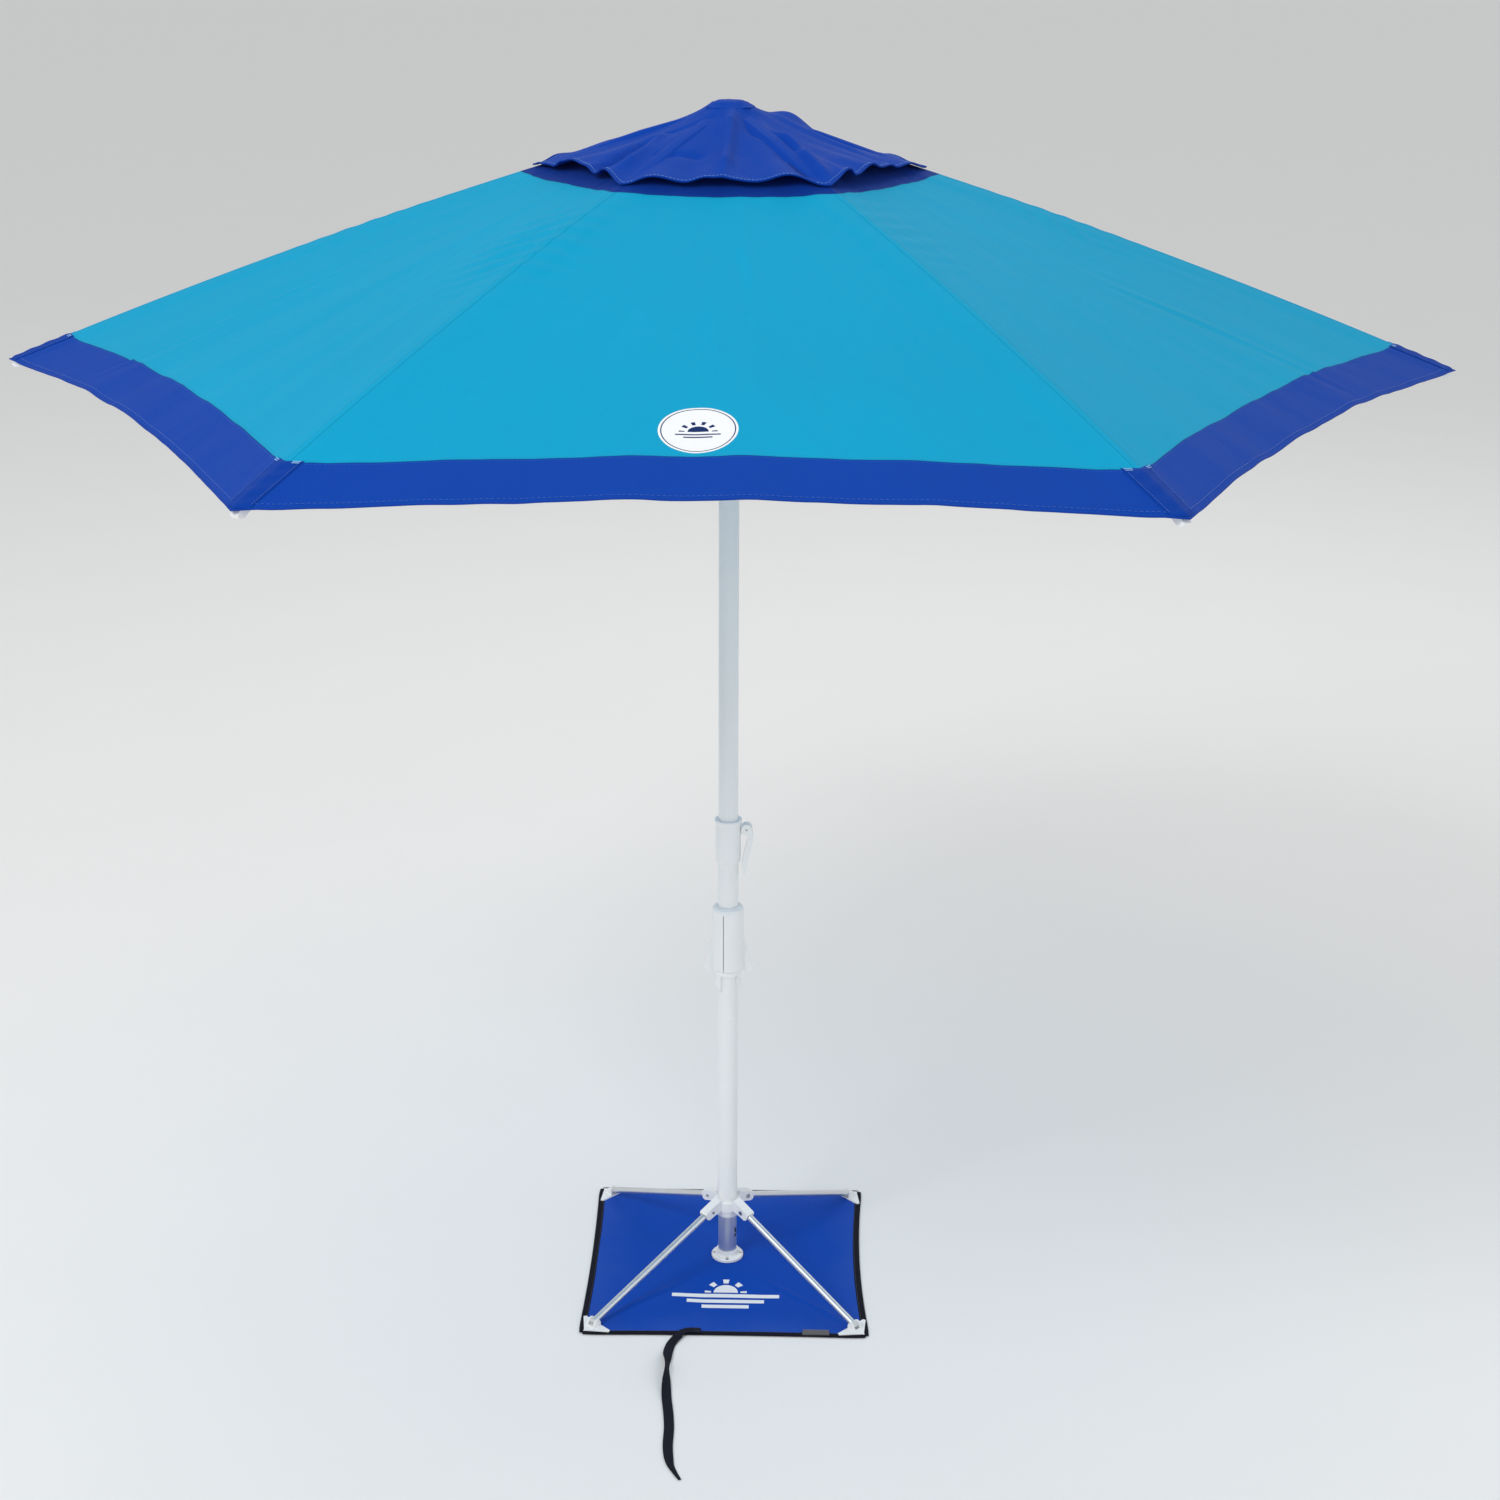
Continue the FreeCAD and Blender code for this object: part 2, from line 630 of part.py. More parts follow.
def make_winged_collar():
    body = new_body("winged_collar")
    bore, outer = size["sleeve_radius"] + size["running"], size["grip_radius"]
    low, high, lip = size["grip_low"], size["grip_high"], size["pole_radius"] + 0.4
    under_lip = size["sleeve_high"] + 1
    barrel = [
        (bore, low), (outer - 1.5, low), (outer, low + 2), (outer, high - 9),
        (outer - 1.5, high - 4), (outer - 5, high - 1), (outer - 8, high), (lip, high),
        (lip, under_lip), (bore, under_lip),
    ]
    revolve(body, polygon(body, "grip_outline", "XZ_Plane", barrel), "grip_turn")
    tip, wing_low, wing_high = size["wing_reach"], size["wing_low"], size["wing_high"]
    root = bore + 1.2
    for side, sign in (("right", 1), ("left", -1)):
        wing = [
            (root, wing_high + 6), (outer - 1, wing_high + 6), (outer, wing_high),
            (tip - 2.5, wing_low + 17), (tip, wing_low + 9), (tip - 1.5, wing_low + 3),
            (tip - 6, wing_low), (tip - 12, wing_low), (root, low + 1),
        ]
        outline = [(x * sign, z) for x, z in wing]
        sketch = polygon(body, f"wing_{side}_outline", "XZ_Plane", outline)
        both_ways(body, "Pad", sketch, f"wing_{side}", size["wing_width"])
    slit = [(-8.7, low - 1), (-7.3, low - 1), (-7.3, high - 12), (-8.7, high - 12)]
    sketch = polygon(body, "slit_outline", "XZ_Plane", slit)
    one_way(body, "Pocket", sketch, "slit", outer * 2, reverse=True)
    keep(body, "winged_collar")


def make_cam_clamp():
    body = new_body("cam_collar")
    low, high, waist = size["clamp_low"], size["clamp_high"], size["clamp_radius"]
    wide = size["pole_radius"] + size["pole_fit"]
    tight = size["pole_radius"] - size["pole_wall"]
    shelf = size["lower_pole_top"] + 1
    outline = [
        (wide, low), (waist - 1.4, low), (waist - 0.9, low + 3), (waist, low + 25),
        (waist, high - 30), (waist - 0.6, high - 8), (waist + 1.4, high - 6),
        (waist + 1.8, high - 3), (waist + 1.2, high), (tight, high), (tight, shelf),
        (wide, shelf),
    ]
    revolve(body, polygon(body, "clamp_outline", "XZ_Plane", outline), "clamp_turn")
    reach, height, eye = size["cam_reach"], size["cam_height"], size["cam_pin"] + 0.04
    ear = [
        (waist - 2, height - 9), (reach - 2, height - 8), (reach + 5, height - 6),
        (reach + 8, height), (reach + 5, height + 6), (reach - 2, height + 8),
        (waist - 2, height + 9),
    ]
    both_ways(
        body, "Pad", polygon(body, "ear_outline", "XZ_Plane", ear), "ear", size["ear_width"]
    )
    hole = ring_outline(body, "ear_hole_outline", "XZ_Plane", reach, height, eye)
    both_ways(body, "Pocket", hole, "ear_hole", size["cam_width"] * 2)
    keep(body, "cam_collar")
    pin = cross_rod("cam_pin_rod", size["cam_pin"], size["cam_width"] + 1, reach, height)
    keep(group("cam_pin_group", [pin]), "cam_pin")


def make_cam_lever():
    body = new_body("cam_lever")
    reach, height, eye = size["cam_reach"], size["cam_height"], size["cam_radius"]
    round_end = ring_outline(body, "lever_eye_outline", "XZ_Plane", reach, height, eye)
    both_ways(body, "Pad", round_end, "lever_eye", size["cam_width"])
    arm = [
        (reach + eye - 0.4, height), (reach + eye + 2, height - 12),
        (reach + eye + 0.5, height - 26), (reach - 1, height - 84), (reach - 5, height - 96),
        (reach - 7, height - 82), (reach - 8.8, height - 66), (reach + 1.5, height - 20),
        (reach, height - 9),
    ]
    both_ways(
        body, "Pad", polygon(body, "lever_arm_outline", "XZ_Plane", arm), "lever_arm",
        size["cam_width"],
    )
    fork = ring_outline(body, "fork_outline", "XZ_Plane", reach, height, eye + 1)
    both_ways(body, "Pocket", fork, "fork", size["ear_width"] + 0.6)
    hole = ring_outline(
        body, "lever_hole_outline", "XZ_Plane", reach, height,
        size["cam_pin"] + size["running"],
    )
    both_ways(body, "Pocket", hole, "lever_hole", size["cam_width"] * 2)
    keep(body, "cam_lever")


# ---------------------------------------------------------------- canopy frame

def hinge_pins(name, reach, height):
    """Six pins that lie around a hub, one across each slot."""
    pins = []
    length = size["rib_eye_width"] + 10
    for n in range(RIBS):
        turn = Rotation(Z_WAY, 360 / RIBS * n)
        start = turn.multVec(Vector(reach.value, -length.value / 2, 0))
        way = turn.multVec(Y_WAY)
        pins.append(
            rod(f"{name}_{n}", size["hinge_pin"], length, start.x, start.y, height, way)
        )
    keep(group(name + "_group", pins), name)


def slotted_hub(name, outline, pin_height, slot_width, slot_low, slot_high):
    body = new_body(name)
    revolve(body, polygon(body, name + "_outline", "XZ_Plane", outline), name + "_turn")
    reach, edge = size["notch_reach"], size["notch_radius"] + 5
    slot = [
        (reach - 7.5, slot_low), (edge, slot_low), (edge, slot_high), (reach - 7.5, slot_high),
    ]
    first = both_ways(
        body, "Pocket", polygon(body, name + "_slot_outline", "XZ_Plane", slot), name + "_slot",
        slot_width,
    )
    eye = ring_outline(
        body, name + "_pin_outline", "XZ_Plane", reach, pin_height, size["hinge_pin"] + 0.04
    )
    second = both_ways(
        body, "Pocket", eye, name + "_pin_hole", size["rib_eye_width"] + 10.2
    )
    around(body, [first, second], RIBS, name + "_slots")
    keep(body, name)


def make_top_hub():
    bore = size["pole_radius"] - size["pole_wall"] - size["pole_fit"] + 0.05
    height, radius = size["notch_height"], size["notch_radius"]
    top = size["upper_pole_top"] + 0.3
    outline = [
        (bore, height - 33), (bore + 5, height - 33), (bore + 5.9, height - 13),
        (radius, height - 10), (radius, height + 8), (radius - 18, height + 12),
        (0, height + 12), (0, top), (bore, top),
    ]
    width = size["rib_eye_width"] + 0.7
    slotted_hub("top_hub", outline, height, width, height - 20, height + 7)
    hinge_pins("rib_hinge_pins", size["notch_reach"], height)
    low = height + 12.2
    dome = [(0, low), (28, low), (28, low + 2), (23, low + 7), (12, low + 11), (0, low + 12)]
    spun("finial", dome)


def runner_height():
    return size["notch_height"] - size["strut_length"] * 2 * sine(size["strut_slope"])


def make_runner():
    bore = size["pole_radius"] - size["pole_wall"] - size["pole_fit"] + size["runner_fit"]
    height, radius = runner_height(), size["notch_radius"]
    outline = [
        (bore, height - 76), (bore + 4, height - 76), (bore + 5.5, height - 73),
        (bore + 5.5, height - 14), (radius, height - 11), (radius, height + 8),
        (bore + 5.5, height + 10), (bore, height + 10),
    ]
    width = size["strut_eye_width"] + 0.8
    slotted_hub("runner", outline, height, width, height - 6.5, height + 20)
    hinge_pins("strut_hinge_pins", size["notch_reach"], height)


def rib_arc():
    """Centre, radius and the angles of the two ends of a rib's bowed line."""
    start = Vector(size["notch_reach"].value, 0, size["notch_height"].value)
    end = Vector(size["rib_end_reach"].value, 0, size["rib_end_height"].value)
    chord, bow = (end - start).Length, size["rib_bow"].value
    radius = chord * chord / (8 * bow) + bow / 2
    upward = (end - start).normalize().cross(Y_WAY).normalize() * -1
    if upward.z < 0:
        upward = upward * -1
    centre = (start + end) * 0.5 - upward * (radius - bow)
    return centre, radius


def rib_angle(reach):
    """Where on its arc a rib is when it is so far out from the axis, in degrees."""
    centre, radius = rib_arc()
    return math.degrees(math.acos((reach - centre.x) / radius))


def rib_point(reach):
    """A point of the rib's line, so far out from the axis."""
    centre, radius = rib_arc()
    angle = math.radians(rib_angle(reach))
    return Vector(reach, 0, centre.z + radius * math.sin(angle))


def strut_hinge():
    """The hinge between a strut and its rib."""
    slope, length = size["strut_slope"], size["strut_length"]
    return (
        size["notch_reach"] + length * cosine(slope),
        size["notch_height"] - length * sine(slope),
    )


def bowed_rod(name, radius, start, end, runs):
    """A round rod on the rib's line, in short runs between rings that stand across it."""
    rings = []
    for k in range(runs + 1):
        reach = start + (end - start) * k / runs
        angle = math.radians(rib_angle(reach))
        ring = doc.addObject("Part::Circle", f"{name}_ring_{k}")
        ring.setExpression("Radius", radius.text)
        way = Vector(math.sin(angle), 0, -math.cos(angle))
        ring.Placement = Placement(rib_point(reach), Rotation(Z_WAY, way))
        rings.append(ring)
    bar = doc.addObject("Part::Loft", name)
    bar.Sections, bar.Solid, bar.Ruled = rings, True, True
    return bar


def make_rib(n):
    name = f"rib_{n + 1}"
    start, end = size["notch_reach"].value + 3, size["rib_rod_end"].value
    bow = bowed_rod(name + "_rod", size["rib_radius"], start, end, 6)
    hinge = (size["notch_reach"], size["notch_height"])
    eye = cross_rod(name + "_eye", size["rib_eye"], size["rib_eye_width"], *hinge)
    low = strut_hinge()
    half = size["strut_eye_width"] / 2 + 0.2
    wall = size["clip_wall"]
    tilt = Rotation(Y_WAY, size["strut_slope"].value)
    turned = tilt.multVec(Vector(-6, 0, 0))
    ears = []
    for side, y in (("a", half), ("b", -half - wall)):
        ears.append(
            block(
                f"{name}_ear_{side}", 12, wall, size["clip_drop"], low[0] + turned.x, y,
                low[1] + turned.z, tilt,
            )
        )
        ears.append(rod(f"{name}_lobe_{side}", 6, wall, low[0], y, low[1], Y_WAY))
    lift = tilt.multVec(Vector(-9, 0, size["clip_drop"].value - 4.6))
    saddle = block(
        name + "_saddle", 18, (half + wall) * 2, 3.6, low[0] + lift.x, -half - wall,
        low[1] + lift.z, tilt,
    )
    rivet = cross_rod(name + "_rivet", size["hinge_pin"], (half + wall) * 2 + 2, *low)
    solid = fused(name + "_solid", [bow, eye, saddle, rivet] + ears)
    bore = cross_rod(name + "_bore", size["hinge_pin"] + size["running"], 20, *hinge)
    keep(cut(name + "_cut", solid, bore), name, 360.0 / RIBS * n)


def make_rib_tip(n):
    """The end cap that sits in the canopy's corner pocket."""
    name = f"rib_tip_{n + 1}"
    body = new_body(name)
    start = rib_point(size["rib_rod_end"].value)
    slope = math.radians(90 - rib_angle(size["rib_rod_end"].value))
    outline = []
    for s, up in ((0.3, 2.6), (27, 2.0), (33, -1), (32, -7), (23, -11), (9, -9), (0.3, -6)):
        x = start.x + s * math.cos(slope) + up * math.sin(slope)
        z = start.z - s * math.sin(slope) + up * math.cos(slope)
        outline.append((size["rib_rod_end"] + (x - size["rib_rod_end"].value), dim(z)))
    sketch = polygon(body, name + "_outline", "XZ_Plane", outline)
    both_ways(body, "Pad", sketch, name + "_pad", 13.0)
    keep(body, name, 360.0 / RIBS * n)


def make_strut(n):
    name = f"strut_{n + 1}"
    slope = size["strut_slope"]
    high, low = strut_hinge(), (size["notch_reach"], runner_height())
    way = Vector(-math.cos(math.radians(slope.value)), 0, -math.sin(math.radians(slope.value)))
    bar = rod(
        name + "_bar", size["strut_radius"], size["strut_length"], high[0], 0, high[1], way
    )
    eyes = [
        cross_rod(f"{name}_eye_{k}", size["strut_eye"], size["strut_eye_width"], *p)
        for k, p in enumerate((high, low))
    ]
    bores = [
        cross_rod(f"{name}_bore_{k}", size["hinge_pin"] + size["running"], 20, *p)
        for k, p in enumerate((high, low))
    ]
    solid = fused(name + "_solid", [bar] + eyes)
    tools = fused(name + "_tools", bores)
    keep(cut(name + "_cut", solid, tools), name, 360.0 / RIBS * n)


# ---------------------------------------------------------------- canopy cloth

def cloth_row(reach, height):
    """Left edge, rib line and right edge of a sector whose rib line is so far out."""
    share = 0.4995
    inward, across = share * reach * 0.5, share * reach * math.sqrt(3) / 2
    return [
        Vector(reach - inward, -across, height), Vector(reach, 0, height),
        Vector(reach - inward, across, height),
    ]


def make_canopy(n):
    """The cloth of one rib, halfway to its neighbours, and its share of the vent cap."""
    lift, thickness = size["canopy_lift"].value, size["cloth"].value
    start, end = size["opening_radius"].value, size["canopy_radius"].value
    steps = 4
    rows = []
    for k in range(steps + 1):
        reach = start + (end - start) * k / steps
        rows.append(cloth_row(reach, rib_point(reach).z + lift + thickness))
    main = cloth_solid(rows, thickness)
    cap_rows = [
        cloth_row(size["cap_inner"].value, size["cap_crown_height"].value),
        cloth_row(size["cap_radius"].value, size["cap_hem_height"].value),
    ]
    cap = cloth_solid(cap_rows, thickness)
    cloth_part(f"canopy_{n + 1}", [main, cap], 360.0 / RIBS * n)


# ---------------------------------------------------------------- whole umbrella

def check_and_write():
    doc.recompute()
    failed = [o.Name for o in doc.Objects if {"Invalid", "Error"} & set(o.State)]
    failed += [o.Label for o in nodes if o.Shape.isNull() or not o.Shape.isValid()]
    if failed:
        raise ValueError(f"these objects failed: {failed}")
    os.makedirs("parts", exist_ok=True)
    for node in nodes:
        node.Shape.exportStep(f"parts/{node.Label}.step")
    print(len(nodes), "sub-parts written")


make_foot()
make_stub()
make_hub()
for number in range(LEGS):
    make_leg(number)
    make_bracket(number)
    make_ground_panel(number)
make_strap()
make_patch()
make_poles()
make_button()
make_coupler()
make_winged_collar()
make_cam_clamp()
make_cam_lever()
make_top_hub()
make_runner()
for number in range(RIBS):
    make_rib(number)
    make_rib_tip(number)
    make_strut(number)
    make_canopy(number)
check_and_write()
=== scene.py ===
"""Beach umbrella: the visible surfaces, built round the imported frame.

Every object is in metres, with +Z up, the origin on the pole's axis at the ground and the
front of the canopy facing -Y.
"""
import json
import logging
import math
from dataclasses import dataclass, field
from enum import Enum
from typing import Iterable, Optional, Sequence, Union

import bmesh
import bpy
import numpy as np
from mathutils import Matrix, Vector, noise
from mathutils.bvhtree import BVHTree


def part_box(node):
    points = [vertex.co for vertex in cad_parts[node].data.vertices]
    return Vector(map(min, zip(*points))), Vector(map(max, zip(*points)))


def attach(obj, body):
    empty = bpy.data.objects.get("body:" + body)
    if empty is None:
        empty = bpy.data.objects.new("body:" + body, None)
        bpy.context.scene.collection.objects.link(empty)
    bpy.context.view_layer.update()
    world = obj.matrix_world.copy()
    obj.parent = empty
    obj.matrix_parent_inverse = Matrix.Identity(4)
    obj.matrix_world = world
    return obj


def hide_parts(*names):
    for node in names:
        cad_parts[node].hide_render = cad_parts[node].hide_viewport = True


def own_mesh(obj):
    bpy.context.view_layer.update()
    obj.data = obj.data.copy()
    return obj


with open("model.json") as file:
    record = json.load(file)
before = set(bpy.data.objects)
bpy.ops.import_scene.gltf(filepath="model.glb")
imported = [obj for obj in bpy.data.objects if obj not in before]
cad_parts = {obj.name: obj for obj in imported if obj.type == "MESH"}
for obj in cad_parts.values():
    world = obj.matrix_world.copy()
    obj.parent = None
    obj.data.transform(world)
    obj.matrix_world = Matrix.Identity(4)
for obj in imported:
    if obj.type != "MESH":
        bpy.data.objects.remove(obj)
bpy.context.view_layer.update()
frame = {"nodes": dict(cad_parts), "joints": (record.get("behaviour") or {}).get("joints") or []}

Colour = tuple[float, float, float, float]
Point = tuple[float, float, float]
Point2 = tuple[float, float]
Number = Union[float, "Wire"]
RIBS = 6
SIDES = 4
log = logging.getLogger("umbrella")


def srgb(red: int, green: int, blue: int) -> Colour:
    """Turns an 8-bit screen colour into a linear one.

    Args:
        red: Red, 0 to 255.
        green: Green, 0 to 255.
        blue: Blue, 0 to 255.

    Returns:
        The linear colour, opaque.
    """
    def linear(value: int) -> float:
        """The linear strength of one channel."""
        share = value / 255
        return share / 12.92 if share <= 0.04045 else ((share + 0.055) / 1.055) ** 2.4

    return linear(red), linear(green), linear(blue), 1.0


# ---------------------------------------------------------------- node trees

class Wire:
    """A number that flows through a node tree, and can be reckoned with like any other."""

    def __init__(self, graph: "Graph", socket: bpy.types.NodeSocket) -> None:
        """Wraps one output socket of a tree."""
        self.graph, self.socket = graph, socket

    def __add__(self, other: Number) -> "Wire":
        """The sum."""
        return self.graph.math("ADD", self, other)

    def __radd__(self, other: Number) -> "Wire":
        """The sum, with a plain number first."""
        return self.graph.math("ADD", other, self)

    def __sub__(self, other: Number) -> "Wire":
        """The difference."""
        return self.graph.math("SUBTRACT", self, other)

    def __rsub__(self, other: Number) -> "Wire":
        """The difference from a plain number."""
        return self.graph.math("SUBTRACT", other, self)

    def __mul__(self, other: Number) -> "Wire":
        """The product."""
        return self.graph.math("MULTIPLY", self, other)

    def __rmul__(self, other: Number) -> "Wire":
        """The product, with a plain number first."""
        return self.graph.math("MULTIPLY", other, self)

    def __truediv__(self, other: Number) -> "Wire":
        """The quotient."""
        return self.graph.math("DIVIDE", self, other)

    def __rtruediv__(self, other: Number) -> "Wire":
        """The quotient of a plain number by this one."""
        return self.graph.math("DIVIDE", other, self)

    def __pow__(self, other: Number) -> "Wire":
        """The power."""
        return self.graph.math("POWER", self, other)

    def __neg__(self) -> "Wire":
        """The negative."""
        return self.graph.math("MULTIPLY", self, -1.0)

    def __abs__(self) -> "Wire":
        """The size without its sign."""
        return self.graph.math("ABSOLUTE", self)

    def __gt__(self, other: Number) -> "Wire":
        """1 where this is greater, and 0 elsewhere."""
        return self.graph.math("GREATER_THAN", self, other)

    def __lt__(self, other: Number) -> "Wire":
        """1 where this is less, and 0 elsewhere."""
        return self.graph.math("LESS_THAN", self, other)

    def sine(self) -> "Wire":
        """The sine, in radians."""
        return self.graph.math("SINE", self)

    def within(self, centre: float, half: float, soft: float) -> "Wire":
        """A band round a value that fades out at its edges.

        Args:
            centre: The middle of the band.
            half: Half the band's width.
            soft: How far its edges take to fade.

        Returns:
            1 in the band and 0 outside it.
        """
        return self.graph.ramp(abs(self - centre), half, half + soft, 1.0, 0.0)


class Graph:
    """Adds nodes to a tree, for a material or for geometry."""

    def __init__(self, tree: bpy.types.NodeTree) -> None:
        """Works on the tree given."""
        self.tree = tree

    def node(self, kind: str, settings: Optional[dict] = None,
             values: Optional[dict] = None) -> bpy.types.Node:
        """Adds any node.

        Args:
            kind: The node's type.
            settings: Its properties.
            values: What feeds its input sockets, by name or place.

        Returns:
            The node.
        """
        made = self.tree.nodes.new(kind)
        for name, value in (settings or {}).items():
            setattr(made, name, value)
        for name, value in (values or {}).items():
            self.feed(self.pick(made.inputs, name), value)
        return made

    @staticmethod
    def pick(sockets: bpy.types.bpy_prop_collection, name: Union[str, int]) -> bpy.types.NodeSocket:
        """The socket in use that has this name or place."""
        if isinstance(name, int):
            return sockets[name]
        return next(s for s in sockets if s.name == name and s.enabled)

    def feed(self, socket: bpy.types.NodeSocket, value: object) -> None:
        """Links a wire to a socket, or sets the socket's own value."""
        if isinstance(value, Wire):
            self.tree.links.new(value.socket, socket)
        else:
            socket.default_value = value

    def out(self, node: bpy.types.Node, name: Union[str, int] = 0) -> Wire:
        """A node's output as a wire."""
        return Wire(self, self.pick(node.outputs, name))

    def math(self, operation: str, *values: Number) -> Wire:
        """One step of arithmetic on numbers."""
        numbers = dict(enumerate(values))
        return self.out(self.node("ShaderNodeMath", {"operation": operation}, numbers))

    def vector(self, operation: str, *values: Union[Wire, Point]) -> Wire:
        """One step of arithmetic on vectors or colours."""
        settings = {"operation": operation}
        return self.out(self.node("ShaderNodeVectorMath", settings, dict(enumerate(values))))

    def ramp(self, value: Wire, low: float, high: float, start: float, end: float) -> Wire:
        """Turns one range into another, smoothly and no further than its ends."""
        fed = {0: value, 1: low, 2: high, 3: start, 4: end}
        return self.out(self.node("ShaderNodeMapRange", {"interpolation_type": "SMOOTHSTEP"}, fed))

    def parts(self, vector: Wire) -> tuple[Wire, Wire, Wire]:
        """The three numbers of a vector."""
        split = self.node("ShaderNodeSeparateXYZ", values={0: vector})
        return self.out(split, 0), self.out(split, 1), self.out(split, 2)

    def join(self, x: Number, y: Number, z: Number) -> Wire:
        """A vector of three numbers."""
        return self.out(self.node("ShaderNodeCombineXYZ", values={0: x, 1: y, 2: z}))

    def noise(self, vector: Wire, scale: float, detail: float = 2.0, seed: Number = 0.0) -> Wire:
        """Smooth noise from 0 to 1.

        Args:
            vector: Where it is read.
            scale: How many lumps to a metre.
            detail: How many finer layers it has.
            seed: Which noise it is.

        Returns:
            The noise.
        """
        fed = {"Vector": vector, "Scale": scale, "Detail": detail, "W": seed}
        return self.out(self.node("ShaderNodeTexNoise", {"noise_dimensions": "4D"}, fed))


class Surface(Graph):
    """A material round one Principled shader."""

    def __init__(self, name: str, constants: dict[str, Union[float, Colour]]) -> None:
        """Starts a material.

        Args:
            name: Its name.
            constants: What is the same all over it, by the shader's socket.
        """
        self.material = bpy.data.materials.new(name)
        self.material.use_nodes = True
        super().__init__(self.material.node_tree)
        self.tree.nodes.clear()
        self.shader = self.node("ShaderNodeBsdfPrincipled", values=constants)
        self.node("ShaderNodeOutputMaterial", values={"Surface": self.out(self.shader)})

    def place(self) -> Wire:
        """Where a point is in the piece's own space."""
        return self.out(self.node("ShaderNodeTexCoord"), "Object")

    def chart(self, name: str) -> tuple[Wire, Wire]:
        """The two numbers of a piece's own map, in metres."""
        u, v, _ = self.parts(self.out(self.node("ShaderNodeUVMap", {"uv_map": name})))
        return u, v

    def blend(self, share: Number, first: Union[Wire, Colour], second: Union[Wire, Colour]) -> Wire:
        """A mix of two colours."""
        settings = {"data_type": "RGBA"}
        mixed = self.node("ShaderNodeMix", settings, {0: share, 6: first, 7: second})
        return self.out(mixed, 2)

    def shade(self, colour: Union[Wire, Colour], strength: Wire) -> Wire:
        """A colour made darker or lighter by a number."""
        settings = {"data_type": "RGBA", "blend_type": "MULTIPLY"}
        grey = self.join(strength, strength, strength)
        return self.out(self.node("ShaderNodeMix", settings, {0: 1.0, 6: colour, 7: grey}), 2)

    def varies(self, socket: str, wire: Wire) -> None:
        """Feeds a value that varies over the surface to the shader."""
        self.feed(self.shader.inputs[socket], wire)

    def bump(self, height: Wire) -> None:
        """Raises the surface's look by a height in metres."""
        fed = {"Height": height, "Distance": 1.0, "Strength": 1.0}
        self.varies("Normal", self.out(self.node("ShaderNodeBump", values=fed)))


class Input(Enum):
    """The kinds of named input that a geometry rule takes."""

    NUMBER = "NodeSocketFloat"
    COUNT = "NodeSocketInt"
    MATERIAL = "NodeSocketMaterial"


class Rule(Graph):
    """A Geometry Nodes tree with named inputs, whose result becomes a plain mesh."""

    def __init__(self, name: str, inputs: dict[str, Input]) -> None:
        """Starts a tree.

        Args:
            name: Its name.
            inputs: The inputs, by name.
        """
        super().__init__(bpy.data.node_groups.new(name, "GeometryNodeTree"))
        face = self.tree.interface
        face.new_socket("Geometry", in_out="INPUT", socket_type="NodeSocketGeometry")
        face.new_socket("Geometry", in_out="OUTPUT", socket_type="NodeSocketGeometry")
        for label, kind in {**inputs, "Finish": Input.MATERIAL}.items():
            face.new_socket(label, in_out="INPUT", socket_type=kind.value)
        self.entry = self.node("NodeGroupInput")

    def given(self, name: str) -> Wire:
        """One of the tree's inputs."""
        return self.out(self.entry, name)

    def step(self, kind: str, settings: Optional[dict] = None, **fed: object) -> Wire:
        """Adds a geometry node whose first output goes on."""
        values = {name.replace("_", " "): value for name, value in fed.items()}
        return self.out(self.node("GeometryNode" + kind, settings, values))

    def close(self, geometry: Wire) -> None:
        """Ends the tree: its copies are made real and take the finish."""
        real = self.step("RealizeInstances", Geometry=geometry)
        dressed = self.step("SetMaterial", Geometry=real, Material=self.given("Finish"))
        self.node("NodeGroupOutput", values={0: dressed})

    def run(self, start: bpy.types.Mesh, finish: bpy.types.Material,
            values: dict[str, Union[float, int]]) -> bpy.types.Mesh:
        """Runs the tree once.

        Args:
            start: The mesh that goes in.
            finish: The material of what comes out.
            values: The other inputs, by name.

        Returns:
            The result as a plain mesh.
        """
        holder = bpy.data.objects.new("rule_holder", start)
        bpy.context.scene.collection.objects.link(holder)
        modifier = holder.modifiers.new("rule", "NODES")
        modifier.node_group = self.tree
        sockets = {i.name: i.identifier for i in self.tree.interface.items_tree
                   if i.item_type == "SOCKET" and i.in_out == "INPUT"}
        for name, value in {**values, "Finish": finish}.items():
            modifier[sockets[name]] = value
        graph = bpy.context.evaluated_depsgraph_get()
        made = bpy.data.meshes.new_from_object(holder.evaluated_get(graph))
        holder.modifiers.remove(modifier)
        bpy.data.objects.remove(holder)
        return made


# ---------------------------------------------------------------- meshes

